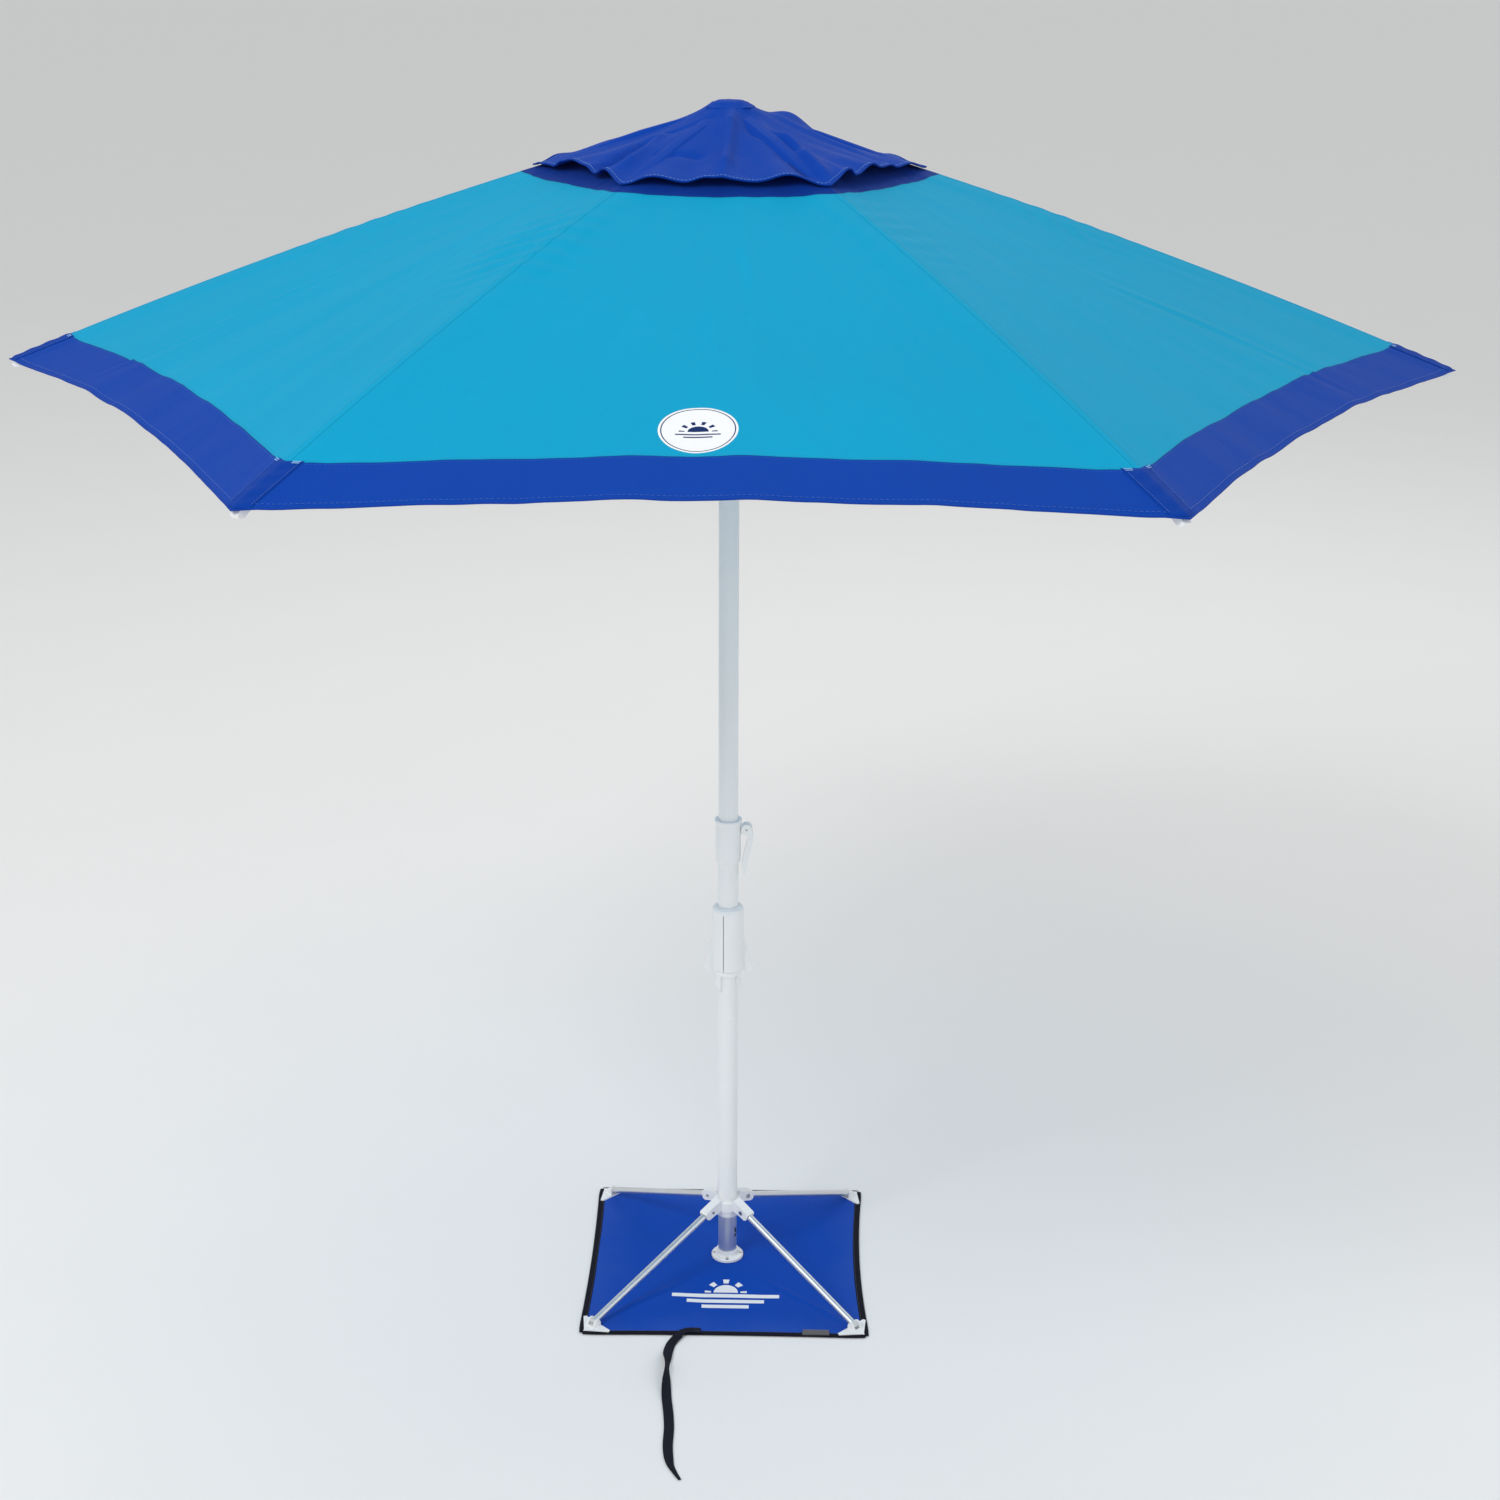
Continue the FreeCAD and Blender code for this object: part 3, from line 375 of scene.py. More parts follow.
@dataclass
class Net:
    """A surface as plain arrays.

    Attributes:
        points: One row for each vertex.
        faces: The corners of each face.
        maps: Named maps, each with one row of two numbers for each vertex.
        normals: The direction that each vertex faces, if it is given.
    """

    points: np.ndarray
    faces: list[tuple[int, ...]]
    maps: dict[str, np.ndarray] = field(default_factory=dict)
    normals: Optional[np.ndarray] = None

    def part(self, chosen: Sequence[int]) -> "Net":
        """The faces chosen, with only their own vertices."""
        faces = [self.faces[n] for n in chosen]
        used = sorted({corner for face in faces for corner in face})
        place = {old: new for new, old in enumerate(used)}
        return Net(
            self.points[used],
            [tuple(place[c] for c in face) for face in faces],
            {name: values[used] for name, values in self.maps.items()},
            None if self.normals is None else self.normals[used],
        )

    def face_up(self) -> None:
        """Turns the surface over if it faces down."""
        if self.normals[:, 2].mean() < 0:
            self.faces = [tuple(reversed(face)) for face in self.faces]
            self.normals = -self.normals

    def edge(self) -> list[tuple[int, int]]:
        """The sides that only one face has, in that face's order."""
        seen: dict[tuple[int, int], tuple[int, int]] = {}
        for face in self.faces:
            for a, b in zip(face, face[1:] + face[:1]):
                key = (min(a, b), max(a, b))
                if key in seen:
                    seen[key] = (-1, -1)
                else:
                    seen[key] = (a, b)
        return [pair for pair in seen.values() if pair[0] >= 0]

    def thick(self, depth: float) -> "Net":
        """A closed shell: this surface, its copy lowered along the normals, and a rim."""
        count = len(self.points)
        below = self.points - self.normals * depth
        faces = list(self.faces)
        faces += [tuple(c + count for c in reversed(face)) for face in self.faces]
        faces += [(b, a, a + count, b + count) for a, b in self.edge()]
        maps = {name: np.vstack([values, values]) for name, values in self.maps.items()}
        normals = np.vstack([self.normals, -self.normals])
        return Net(np.vstack([self.points, below]), faces, maps, normals)

    def mesh(self, name: str) -> bpy.types.Mesh:
        """A Blender mesh of this surface, smooth, with its maps."""
        made = bpy.data.meshes.new(name)
        made.from_pydata(self.points.tolist(), [], self.faces)
        made.polygons.foreach_set("use_smooth", [True] * len(made.polygons))
        for label, values in self.maps.items():
            set_map(made, label, values)
        if self.normals is not None:
            corners = np.zeros(len(made.loops), int)
            made.loops.foreach_get("vertex_index", corners)
            loops = np.zeros(len(made.polygons), int)
            made.polygons.foreach_get("loop_start", loops)
            wanted = self.normals[corners].copy()
            for n in self.edge_faces():
                start = loops[n]
                wanted[start:start + len(self.faces[n])] = made.polygons[n].normal
            made.normals_split_custom_set(wanted.tolist())
        made.update()
        return made

    def edge_faces(self) -> list[int]:
        """The faces of a shell's rim, which join its two halves."""
        half = len(self.points) // 2
        return [n for n, face in enumerate(self.faces)
                if min(face) < half <= max(face)]


def net_of(mesh: bpy.types.Mesh, names: Iterable[str] = ()) -> tuple[Net, dict[str, np.ndarray]]:
    """Reads a mesh as plain arrays.

    Args:
        mesh: The mesh.
        names: Point attributes to read with it.

    Returns:
        The net with its vertex normals, and the attributes by name.
    """
    count = len(mesh.vertices)
    points, normals = np.zeros(count * 3), np.zeros(count * 3)
    mesh.vertices.foreach_get("co", points)
    mesh.vertex_normals.foreach_get("vector", normals)
    read = {}
    for name in names:
        values = np.zeros(count)
        mesh.attributes[name].data.foreach_get("value", values)
        read[name] = values
    faces = [tuple(p.vertices) for p in mesh.polygons]
    return Net(points.reshape(-1, 3), faces, {}, normals.reshape(-1, 3)), read


def chart(made: bpy.types.Object) -> None:
    """Gives a piece the map that the threads follow, flat from above.

    Args:
        made: The piece.
    """
    net, _ = net_of(made.data)
    set_map(made.data, "cloth", net.points[:, :2])


def piece(name: str, mesh: bpy.types.Mesh, finish: Optional[bpy.types.Material] = None
          ) -> bpy.types.Object:
    """Puts a mesh in the scene as one piece.

    Args:
        name: The piece's name.
        mesh: Its mesh, in the frame's place.
        finish: Its material, if the mesh has none yet.

    Returns:
        The object, at the origin.
    """
    made = bpy.data.objects.new(name, mesh)
    mesh.name = name
    bpy.context.scene.collection.objects.link(made)
    if finish is not None:
        mesh.materials.clear()
        mesh.materials.append(finish)
    log.info("%s: %d faces", name, len(mesh.polygons))
    return made


def grid(rows: int, columns: int, closed: bool = True, first: int = 0) -> list[tuple[int, ...]]:
    """The four-sided faces between rows of points.

    Args:
        rows: How many rows.
        columns: How many points in each.
        closed: Whether each row runs round to its own start.
        first: The number of the first point.

    Returns:
        The faces, row by row.
    """
    faces = []
    for i in range(rows - 1):
        near, far = first + i * columns, first + (i + 1) * columns
        for j in range(columns if closed else columns - 1):
            after = (j + 1) % columns
            faces.append((near + j, far + j, far + after, near + after))
    return faces


def set_map(mesh: bpy.types.Mesh, name: str, values: np.ndarray) -> None:
    """Gives a mesh a UV map from one pair of numbers for each vertex."""
    corners = np.zeros(len(mesh.loops), int)
    mesh.loops.foreach_get("vertex_index", corners)
    layer = mesh.uv_layers.new(name=name)
    layer.data.foreach_set("uv", values[corners].astype(np.float32).ravel())


def polyline(points: np.ndarray) -> bpy.types.Mesh:
    """A mesh of edges only, that runs through the points."""
    made = bpy.data.meshes.new("path")
    made.from_pydata(points.tolist(), [(n, n + 1) for n in range(len(points) - 1)], [])
    return made


def joined(meshes: Sequence[bpy.types.Mesh]) -> bpy.types.Mesh:
    """One mesh of several that have the same material."""
    work = bmesh.new()
    for mesh in meshes:
        work.from_mesh(mesh)
    made = meshes[0].copy()
    work.to_mesh(made)
    work.free()
    return made


def outward(azimuth: float) -> tuple[np.ndarray, np.ndarray]:
    """The level directions away from the pole and round it, at an azimuth in degrees."""
    a = math.radians(azimuth)
    return np.array([math.cos(a), math.sin(a), 0.0]), np.array([-math.sin(a), math.cos(a), 0.0])


# ---------------------------------------------------------------- finishes

TURN = 2 * math.pi
ROYAL = srgb(0, 63, 163)
RING = srgb(0, 48, 136)
TURQUOISE = srgb(0, 156, 198)
INK = srgb(14, 44, 98)
WHITE = srgb(238, 241, 243)


@dataclass(frozen=True)
class Plastic:
    """Satin moulded plastic.

    Attributes:
        name: The material's name.
        colour: Its colour.
        roughness: How dull it is.
        grain: How deep its moulded grain is, in metres.
    """

    name: str
    colour: Colour
    roughness: float = 0.36
    grain: float = 0.00003

    def material(self) -> bpy.types.Material:
        """Its node tree."""
        made = Surface(self.name, {"IOR": 1.47})
        place = made.place()
        cloud, grain = made.noise(place, 22.0, 3.0), made.noise(place, 1400.0, 2.0, 3.0)
        made.varies("Base Color", made.shade(self.colour, cloud * 0.07 + 0.95))
        made.varies("Roughness", cloud * 0.14 + (self.roughness - 0.07))
        made.bump(grain * self.grain + made.noise(place, 90.0, 1.0, 5.0) * 0.00005)
        return made.material


@dataclass(frozen=True)
class Coat:
    """Powder coat on a drawn tube, with faint marks where it slides.

    Attributes:
        name: The material's name.
        colour: Its colour.
    """

    name: str
    colour: Colour

    def material(self) -> bpy.types.Material:
        """Its node tree."""
        made = Surface(self.name, {"IOR": 1.5})
        place = made.place()
        x, y, z = made.parts(place)
        drawn = made.noise(made.join(x * 320.0, y * 320.0, z * 3.0), 1.0, 3.0, 2.0)
        mark = made.ramp(drawn, 0.60, 0.74, 0.0, 1.0)
        cloud = made.noise(place, 7.0, 3.0)
        made.varies("Base Color", made.shade(self.colour, 1.0 - mark * 0.05 - cloud * 0.05))
        made.varies("Roughness", cloud * 0.10 + mark * 0.12 + 0.24)
        made.bump(made.noise(place, 620.0, 1.0, 1.0) * 0.00004)
        return made.material


@dataclass(frozen=True)
class Metal:
    """Bare metal with fine drawn lines.

    Attributes:
        name: The material's name.
        colour: Its colour.
        roughness: How dull it is.
    """

    name: str
    colour: Colour
    roughness: float = 0.3

    def material(self) -> bpy.types.Material:
        """Its node tree."""
        made = Surface(self.name, {"Metallic": 1.0})
        place = made.place()
        x, y, z = made.parts(place)
        lines = made.noise(made.join(x * 700.0, y * 700.0, z * 40.0), 1.0, 3.0)
        cloud = made.noise(place, 40.0, 3.0, 4.0)
        made.varies("Base Color", made.shade(self.colour, lines * 0.12 + cloud * 0.10 + 0.86))
        made.varies("Roughness", lines * 0.16 + cloud * 0.10 + (self.roughness - 0.13))
        made.bump(lines * 0.00002)
        return made.material


@dataclass(frozen=True)
class Cloth:
    """Plain-woven cloth that follows a piece's own map, in metres.

    Attributes:
        name: The material's name.
        colour: Its colour.
        thread: How far apart its threads are.
        roughness: How dull it is.
        chart: The map that the threads follow.
    """

    name: str
    colour: Colour
    thread: float = 0.0012
    roughness: float = 0.72
    chart: str = "cloth"

    def start(self) -> Surface:
        """The material with what is the same all over it."""
        return Surface(self.name, {"Sheen Weight": 0.02, "Sheen Roughness": 0.5,
                                   "Specular IOR Level": 0.10, "IOR": 1.45})

    def weave(self, made: Surface, u: Wire, v: Wire) -> Wire:
        """The height of the threads, from 0 to 1."""
        over = (u * (TURN / self.thread)).sine() * (v * (TURN / self.thread)).sine()
        return over * 0.5 + 0.5

    def colours(self, made: Surface, u: Wire, v: Wire) -> Union[Wire, Colour]:
        """The cloth's own colours before light and wear."""
        return self.colour

    def relief(self, made: Surface, u: Wire, v: Wire) -> Wire:
        """Creases and seams, in metres."""
        flow = made.join(u * 26.0, v * 5.0, 0.0)
        return made.noise(flow, 1.0, 3.0, 2.0) * 0.0016 + made.noise(flow, 5.0, 2.0, 6.0) * 0.0003

    def material(self) -> bpy.types.Material:
        """Its node tree."""
        made = self.start()
        u, v = made.chart(self.chart)
        flat = made.join(u, v, 0.0)
        threads = self.weave(made, u, v)
        cloud = made.noise(flat, 3.0, 3.0) * 0.10 + made.noise(flat, 42.0, 2.0, 9.0) * 0.05
        slub = made.noise(made.join(u * 900.0, v * 30.0, 0.0), 1.0, 1.0, 7.0) * 0.06
        tone = cloud + slub + threads * 0.05 + 0.87
        made.varies("Base Color", made.shade(self.colours(made, u, v), tone))
        made.varies("Roughness", cloud + (self.roughness - 0.08))
        made.bump(self.relief(made, u, v) + threads * 0.00008)
        return made.material


@dataclass(frozen=True)
class CanopyCloth(Cloth):
    """The canopy's cloth: turquoise, with a royal blue border and ring, and a round label.

    The map's first number runs from the rib along the panel, and its second is the corner
    radius. A second map measures from the label's middle.

    Attributes:
        ring: Corner radius where the ring ends.
        border: Corner radius where the border begins.
        curve: How much more the border's seam bows than the threads do there.
        label: Half the label's width and height.
    """

    ring: float = 0.353
    border: float = 1.145
    curve: float = 0.015
    label: tuple[float, float] = (0.0550, 0.0590)

    def colours(self, made: Surface, u: Wire, v: Wire) -> Wire:
        """The panels, the border, the ring, painted shade along their seams, and the label."""
        inward = abs(u) * 2.0 / v
        hem = v + inward * (2.0 - inward) * self.curve
        plain = made.blend(hem > self.border, self.colour, ROYAL)
        plain = made.blend(v < self.ring, plain, RING)
        # Thin dark lines on the border and ring seams and beside the rib seams: painted shade in
        # the seams.
        lines = hem.within(self.border, 0.0005, 0.0012) + v.within(self.ring, 0.0005, 0.0012)
        felled_seam_shade = abs(u).within(0.0065, 0.0003, 0.0011)
        stitch = (u * (TURN / 0.006)).sine() > -0.3
        dashes = stitch * hem.within(self.border + 0.004, 0.0004, 0.0004)
        seam_shade = 1.0 - made.math("MAXIMUM", lines * 0.35, felled_seam_shade * 0.16)
        seam_shaded = made.shade(plain, seam_shade)
        seam_shaded = made.blend(dashes * 0.3, seam_shaded, srgb(60, 130, 215))
        return self.labelled(made, seam_shaded)

    def labelled(self, made: Surface, cloth: Wire) -> Wire:
        """Prints a white oval with a half sun over two bars."""
        x, y = made.chart("label")
        wide, high = self.label
        oval = ((x / wide) ** 2.0 + (y / high) ** 2.0) ** 0.5
        distance = (x * x + (y + 0.004) ** 2.0) ** 0.5
        above = y > -0.004
        spokes = (made.math("ARCTAN2", y + 0.004, x) * 10.0 + 1.57).sine() > 0.35
        rays = (distance > 0.0185) * (distance < 0.0265) * spokes
        bars = y.within(-0.011, 0.0014, 0.0003) * (abs(x) < 0.031)
        bars = bars + y.within(-0.018, 0.0014, 0.0003) * (abs(x) < 0.020)
        sun = ((distance < 0.0145) + rays) * above + bars
        rim = oval.within(0.925, 0.012, 0.006)
        ink = made.math("MINIMUM", sun + rim, 1.0)
        return made.blend(oval < 1.0, cloth, made.blend(ink, WHITE, INK))

    def relief(self, made: Surface, u: Wire, v: Wire) -> Wire:
        """Creases along the panels, raised seams and the label's edge."""
        flow = made.join(u * 9.0, v * 1.6, 0.0)
        folds = made.noise(flow, 1.0, 3.0, 2.0) * 0.0035
        fine = made.noise(made.join(u * 60.0, v * 9.0, 0.0), 1.0, 2.0, 6.0) * 0.00025
        seams = abs(u).within(0.0, 0.0060, 0.0015) * 0.0006
        inward = abs(u) * 2.0 / v
        hem = v + inward * (2.0 - inward) * self.curve
        seams = seams + hem.within(self.border, 0.0045, 0.0010) * 0.0005
        x, y = made.chart("label")
        wide, high = self.label
        patch = (((x / wide) ** 2.0 + (y / high) ** 2.0) ** 0.5 < 1.0) * 0.0004
        return folds + fine + seams + patch


@dataclass(frozen=True)
class GroundCloth(Cloth):
    """The ground sheet's cloth, with a white mark printed in front of the pole."""

    def colours(self, made: Surface, u: Wire, v: Wire) -> Wire:
        """Royal blue with three bars and a half sun, and dust towards its edges."""
        bars: Number = 0.0
        for place, half in ((-0.136, 0.103), (-0.154, 0.074), (-0.172, 0.045)):
            bars = v.within(place, 0.0055, 0.0003) * (abs(u) < half) + bars
        distance = (u * u + (v + 0.126) ** 2.0) ** 0.5
        spokes = (made.math("ARCTAN2", v + 0.126, u) * 8.0 + 1.57).sine() > 0.30
        rays = (distance > 0.0285) * (distance < 0.0405) * spokes
        sun = ((distance < 0.0235) + rays) * (v > -0.126)
        print_here = made.math("MINIMUM", bars + sun, 1.0)
        edge = made.math("MAXIMUM", abs(u), abs(v))
        uneven = made.noise(made.join(u, v, 0.0), 9.0, 3.0) * 0.12
        dust = made.ramp(edge + uneven, 0.24, 0.36, 0.0, 0.10)
        plain = made.blend(dust, self.colour, srgb(120, 140, 190))
        return made.blend(print_here, plain, WHITE)


@dataclass(frozen=True)
class Webbing(Cloth):
    """Flat woven webbing, ribbed across, on a piece that has no map of its own."""

    def material(self) -> bpy.types.Material:
        """Its node tree."""
        made = self.start()
        place = made.place()
        x, y, _ = made.parts(place)
        ribs = ((x + y) * (TURN / self.thread)).sine() * ((x - y) * (TURN / self.thread)).sine()
        cloud = made.noise(place, 60.0, 3.0)
        made.varies("Base Color", made.shade(self.colour, ribs * 0.25 + cloud * 0.5 + 0.85))
        made.varies("Roughness", cloud * 0.2 + (self.roughness - 0.1))
        made.bump(ribs * 0.00018 + cloud * 0.0004)
        return made.material


@dataclass(frozen=True)
class HookTape:
    """Hook-and-loop tape: rows of tiny hooks.

    Attributes:
        name: The material's name.
        colour: Its colour.
    """

    name: str
    colour: Colour

    def material(self) -> bpy.types.Material:
        """Its node tree."""
        made = Surface(self.name, {"Sheen Weight": 0.5, "Sheen Roughness": 0.6})
        place = made.place()
        fed = {"Vector": place, "Scale": 900.0}
        hooks = made.out(made.node("ShaderNodeTexVoronoi", values=fed), "Distance")
        made.varies("Base Color", made.shade(self.colour, hooks * 1.1 + 0.6))
        made.varies("Roughness", hooks * 0.3 + 0.6)
        made.bump(hooks * 0.0006)
        return made.material


@dataclass(frozen=True)
class Thread:
    """Twisted sewing thread.

    Attributes:
        name: The material's name.
        colour: Its colour.
    """

    name: str
    colour: Colour

    def material(self) -> bpy.types.Material:
        """Its node tree."""
        made = Surface(self.name, {"Sheen Weight": 0.3})
        place = made.place()
        strands = made.noise(place, 2600.0, 1.0)
        made.varies("Base Color", made.shade(self.colour, strands * 0.3 + 0.82))
        made.varies("Roughness", strands * 0.2 + 0.45)
        made.bump(strands * 0.0001)
        return made.material


class Finish(Enum):
    """The finishes of the umbrella, each with its record."""

    TUBE = Coat("white_powder_coat", srgb(240, 243, 243))
    PLASTIC = Plastic("white_plastic_satin", srgb(241, 243, 243))
    ROD = Plastic("white_rod", srgb(214, 220, 222), 0.42, 0.00002)
    ALUMINIUM = Metal("bare_aluminium", srgb(226, 229, 231), 0.46)
    STEEL = Metal("zinc_steel", srgb(186, 188, 190), 0.30)
    CANOPY = CanopyCloth("panel_cloth", TURQUOISE, 0.0013)
    CAP = Cloth("cap_cloth", srgb(0, 62, 164), 0.0013)
    # The royal cloth made darker: painted shade for the pocket's steep drape over the rib ends. The
    # hem tapes use it too.
    POCKET = Cloth("pocket_cloth", srgb(0, 58, 154), 0.0012)
    GROUND = GroundCloth("ground_cloth", srgb(0, 70, 176), 0.0014)
    BINDING = Cloth("black_binding", srgb(20, 22, 34), 0.0016, 0.8)
    STRAP = Webbing("strap_webbing", srgb(24, 26, 38), 0.0024, 0.8)
    HOOK = HookTape("hook_tape", srgb(16, 17, 24))
    PALE_THREAD = Thread("pale_blue_thread", srgb(128, 186, 240))
    ROYAL_THREAD = Thread("royal_thread", srgb(24, 92, 190))
    DARK_THREAD = Thread("black_thread", srgb(46, 50, 66))

    def __init__(self, recipe: Union[Plastic, Coat, Metal, Cloth, HookTape, Thread]) -> None:
        """Keeps the finish's record."""
        self.recipe = recipe

    @property
    def material(self) -> bpy.types.Material:
        """The finish's material, which is made once."""
        known = bpy.data.materials.get(self.recipe.name)
        return known if known is not None else self.recipe.material()


# ---------------------------------------------------------------- studio

@dataclass
class Studio:
    """The camera, the lights and the floor.

    Attributes:
        eye: Where the camera stands.
        pitch: How far it looks down, in degrees.
        roll: How far it is turned about its own axis, in degrees.
        yaw: How far it looks to the left of straight back, in degrees.
        lens: Its focal length for a sensor 36 wide.
    """

    eye: Point = (0.0980, -4.1107, 2.5179)
    pitch: float = 19.44
    roll: float = 0.31
    yaw: float = 0.818
    lens: float = 57.28

    def camera(self) -> None:
        """Makes the camera and gives it to the scene."""
        data = bpy.data.cameras.new("camera")
        data.lens, data.sensor_width, data.clip_end = self.lens, 36.0, 600.0
        made = bpy.data.objects.new("camera", data)
        bpy.context.scene.collection.objects.link(made)
        level = Matrix.Rotation(math.radians(90 - self.pitch), 4, "X")
        turn = Matrix.Rotation(math.radians(self.roll), 4, "Z")
        aside = Matrix.Rotation(math.radians(self.yaw), 4, "Z")
        made.matrix_world = Matrix.Translation(self.eye) @ aside @ level @ turn
        bpy.context.scene.camera = made

    def light(self, name: str, place: Point, aim: Point, size: float, power: float) -> None:
        """Adds one soft square light.

        Args:
            name: Its name.
            place: Where it stands.
            aim: Where it points.
            size: Its side.
            power: Its power in watts.
        """
        data = bpy.data.lights.new(name, "AREA")
        data.shape, data.size, data.energy = "SQUARE", size, power
        made = bpy.data.objects.new(name, data)
        bpy.context.scene.collection.objects.link(made)
        made.location = place
        way = Vector(aim) - Vector(place)
        made.rotation_euler = way.to_track_quat("-Z", "Y").to_euler()

    def surroundings(self) -> None:
        """Adds the lights, a pale sky and a pale floor."""
        self.light("key", (-3.8, -4.6, 6.4), (0.0, -0.2, 1.4), 3.0, 250.0)
        self.light("fill", (4.8, -4.0, 3.6), (0.0, 0.0, 1.2), 4.5, 50.0)
        self.light("back", (1.5, 5.0, 6.0), (0.0, 0.0, 1.6), 5.0, 70.0)
        world = bpy.data.worlds.new("studio")
        world.use_nodes = True
        sky = Graph(world.node_tree)
        world.node_tree.nodes.clear()
        fed = {"Color": srgb(242, 243, 244), "Strength": 0.72}
        glow = sky.node("ShaderNodeBackground", values=fed)
        sky.node("ShaderNodeOutputWorld", values={"Surface": sky.out(glow)})
        bpy.context.scene.world = world
        bpy.context.scene.view_settings.view_transform = "Standard"
        floor = Surface("floor", {"Roughness": 0.9, "Specular IOR Level": 0.2})
        speck = floor.noise(floor.place(), 3.0, 2.0)
        floor.varies("Base Color", floor.shade(srgb(243, 243, 242), speck * 0.02 + 0.98))
        mesh = bpy.data.meshes.new("floor")
        far = 160.0
        corners = [(x * far, y * far, -0.001) for x, y in ((-1, -1), (1, -1), (1, 1), (-1, 1))]
        mesh.from_pydata(corners, [], [(0, 1, 2, 3)])
        piece("floor", mesh, floor.material)


# ---------------------------------------------------------------- rules that repeat

@dataclass
class Sewing:
    """Rows of stitches along paths.

    Attributes:
        spacing: From one stitch to the next.
        length: Of one stitch.
        width: Of the thread.
    """

    spacing: float = 0.0075
    length: float = 0.0052
    width: float = 0.0013

    def rule(self) -> Rule:
        """Small rounded stitches set along a path and turned to it."""
        known = getattr(Sewing, "_rule", None)
        if known is not None:
            return known
        tree = Rule("stitch_row", {"Spacing": Input.NUMBER, "Length": Input.NUMBER,
                                   "Width": Input.NUMBER})
        path = tree.step("MeshToCurve", Mesh=tree.given("Geometry"))
        dots = tree.out(tree.node("GeometryNodeResampleCurve", None, {"Curve": path}))
        resample = dots.socket.node
        if hasattr(resample, "mode"):
            resample.mode = "LENGTH"
        tree.feed(tree.pick(resample.inputs, "Length"), tree.given("Spacing"))
        stitch = tree.step("MeshUVSphere", Segments=6, Rings=4, Radius=0.5)
        stitch = tree.step("SetShadeSmooth", Geometry=stitch)
        way = tree.out(tree.node("GeometryNodeInputTangent"))
        turned = tree.node("FunctionNodeAlignRotationToVector", {"axis": "X"}, {"Vector": way})
        size = tree.join(tree.given("Length"), tree.given("Width"), tree.given("Width") * 0.7)
        row = tree.step("InstanceOnPoints", Points=dots, Instance=stitch,
                        Rotation=tree.out(turned), Scale=size)
        tree.close(row)
        Sewing._rule = tree
        return tree

    def rows(self, name: str, paths: Sequence[np.ndarray], finish: Finish) -> bpy.types.Object:
        """Sews along the paths.

        Args:
            name: The piece's name.
            paths: The points of each row.
            finish: The thread.

        Returns:
            One piece with all the stitches.
        """
        values = {"Spacing": self.spacing, "Length": self.length, "Width": self.width}
        made = [self.rule().run(polyline(path), finish.material, values) for path in paths]
        return piece(name, joined(made), finish.material)


@dataclass
class Tape:
    """A flat tape with soft edges, swept along a level path.

    Attributes:
        width: Across the tape.
        height: Through the tape.
    """

    width: float
    height: float

    def rule(self) -> Rule:
        """A flattened ring swept along a path."""
        known = getattr(Tape, "_rule", None)
        if known is not None:
            return known
        tree = Rule("edge_tape", {"Width": Input.NUMBER, "Height": Input.NUMBER})
        path = tree.step("MeshToCurve", Mesh=tree.given("Geometry"))
        path = tree.step("SetCurveNormal", {"mode": "Z_UP"}, Curve=path)
        ring = tree.step("CurvePrimitiveCircle", Resolution=14, Radius=0.5)
        flat = tree.join(tree.given("Width"), tree.given("Height"), 1.0)
        ring = tree.step("Transform", Geometry=ring, Scale=flat)
        swept = tree.node("GeometryNodeCurveToMesh", None,
                          {"Curve": path, "Profile Curve": ring, "Fill Caps": True})
        tree.close(tree.step("SetShadeSmooth", Geometry=tree.out(swept)))
        Tape._rule = tree
        return tree

    def along(self, path: np.ndarray, finish: Finish) -> bpy.types.Mesh:
        """The tape's mesh along a path."""
        values = {"Width": self.width, "Height": self.height}
        return self.rule().run(polyline(path), finish.material, values)


@dataclass
class Fold:
    """How a soft piece goes with a folding joint.

    Attributes:
        body: The body that it rides on.
        joint: The joint that folds it. It is not used.
        azimuth: Where its middle line lies, in degrees.
        middle: A point on its middle line: out from the pole, and up. It is not used.
        keep: How much of its width is left when folded. It is not used.
    """

    body: str
    joint: str
    azimuth: float
    middle: tuple[float, float]
    keep: float

    def take(self, made: bpy.types.Object, slot: Optional[str] = None) -> bpy.types.Object:
        """Makes a piece ride on its body, with its own copy of its mesh."""
        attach(made, self.body)
        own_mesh(made)
        return made


# ---------------------------------------------------------------- canopy

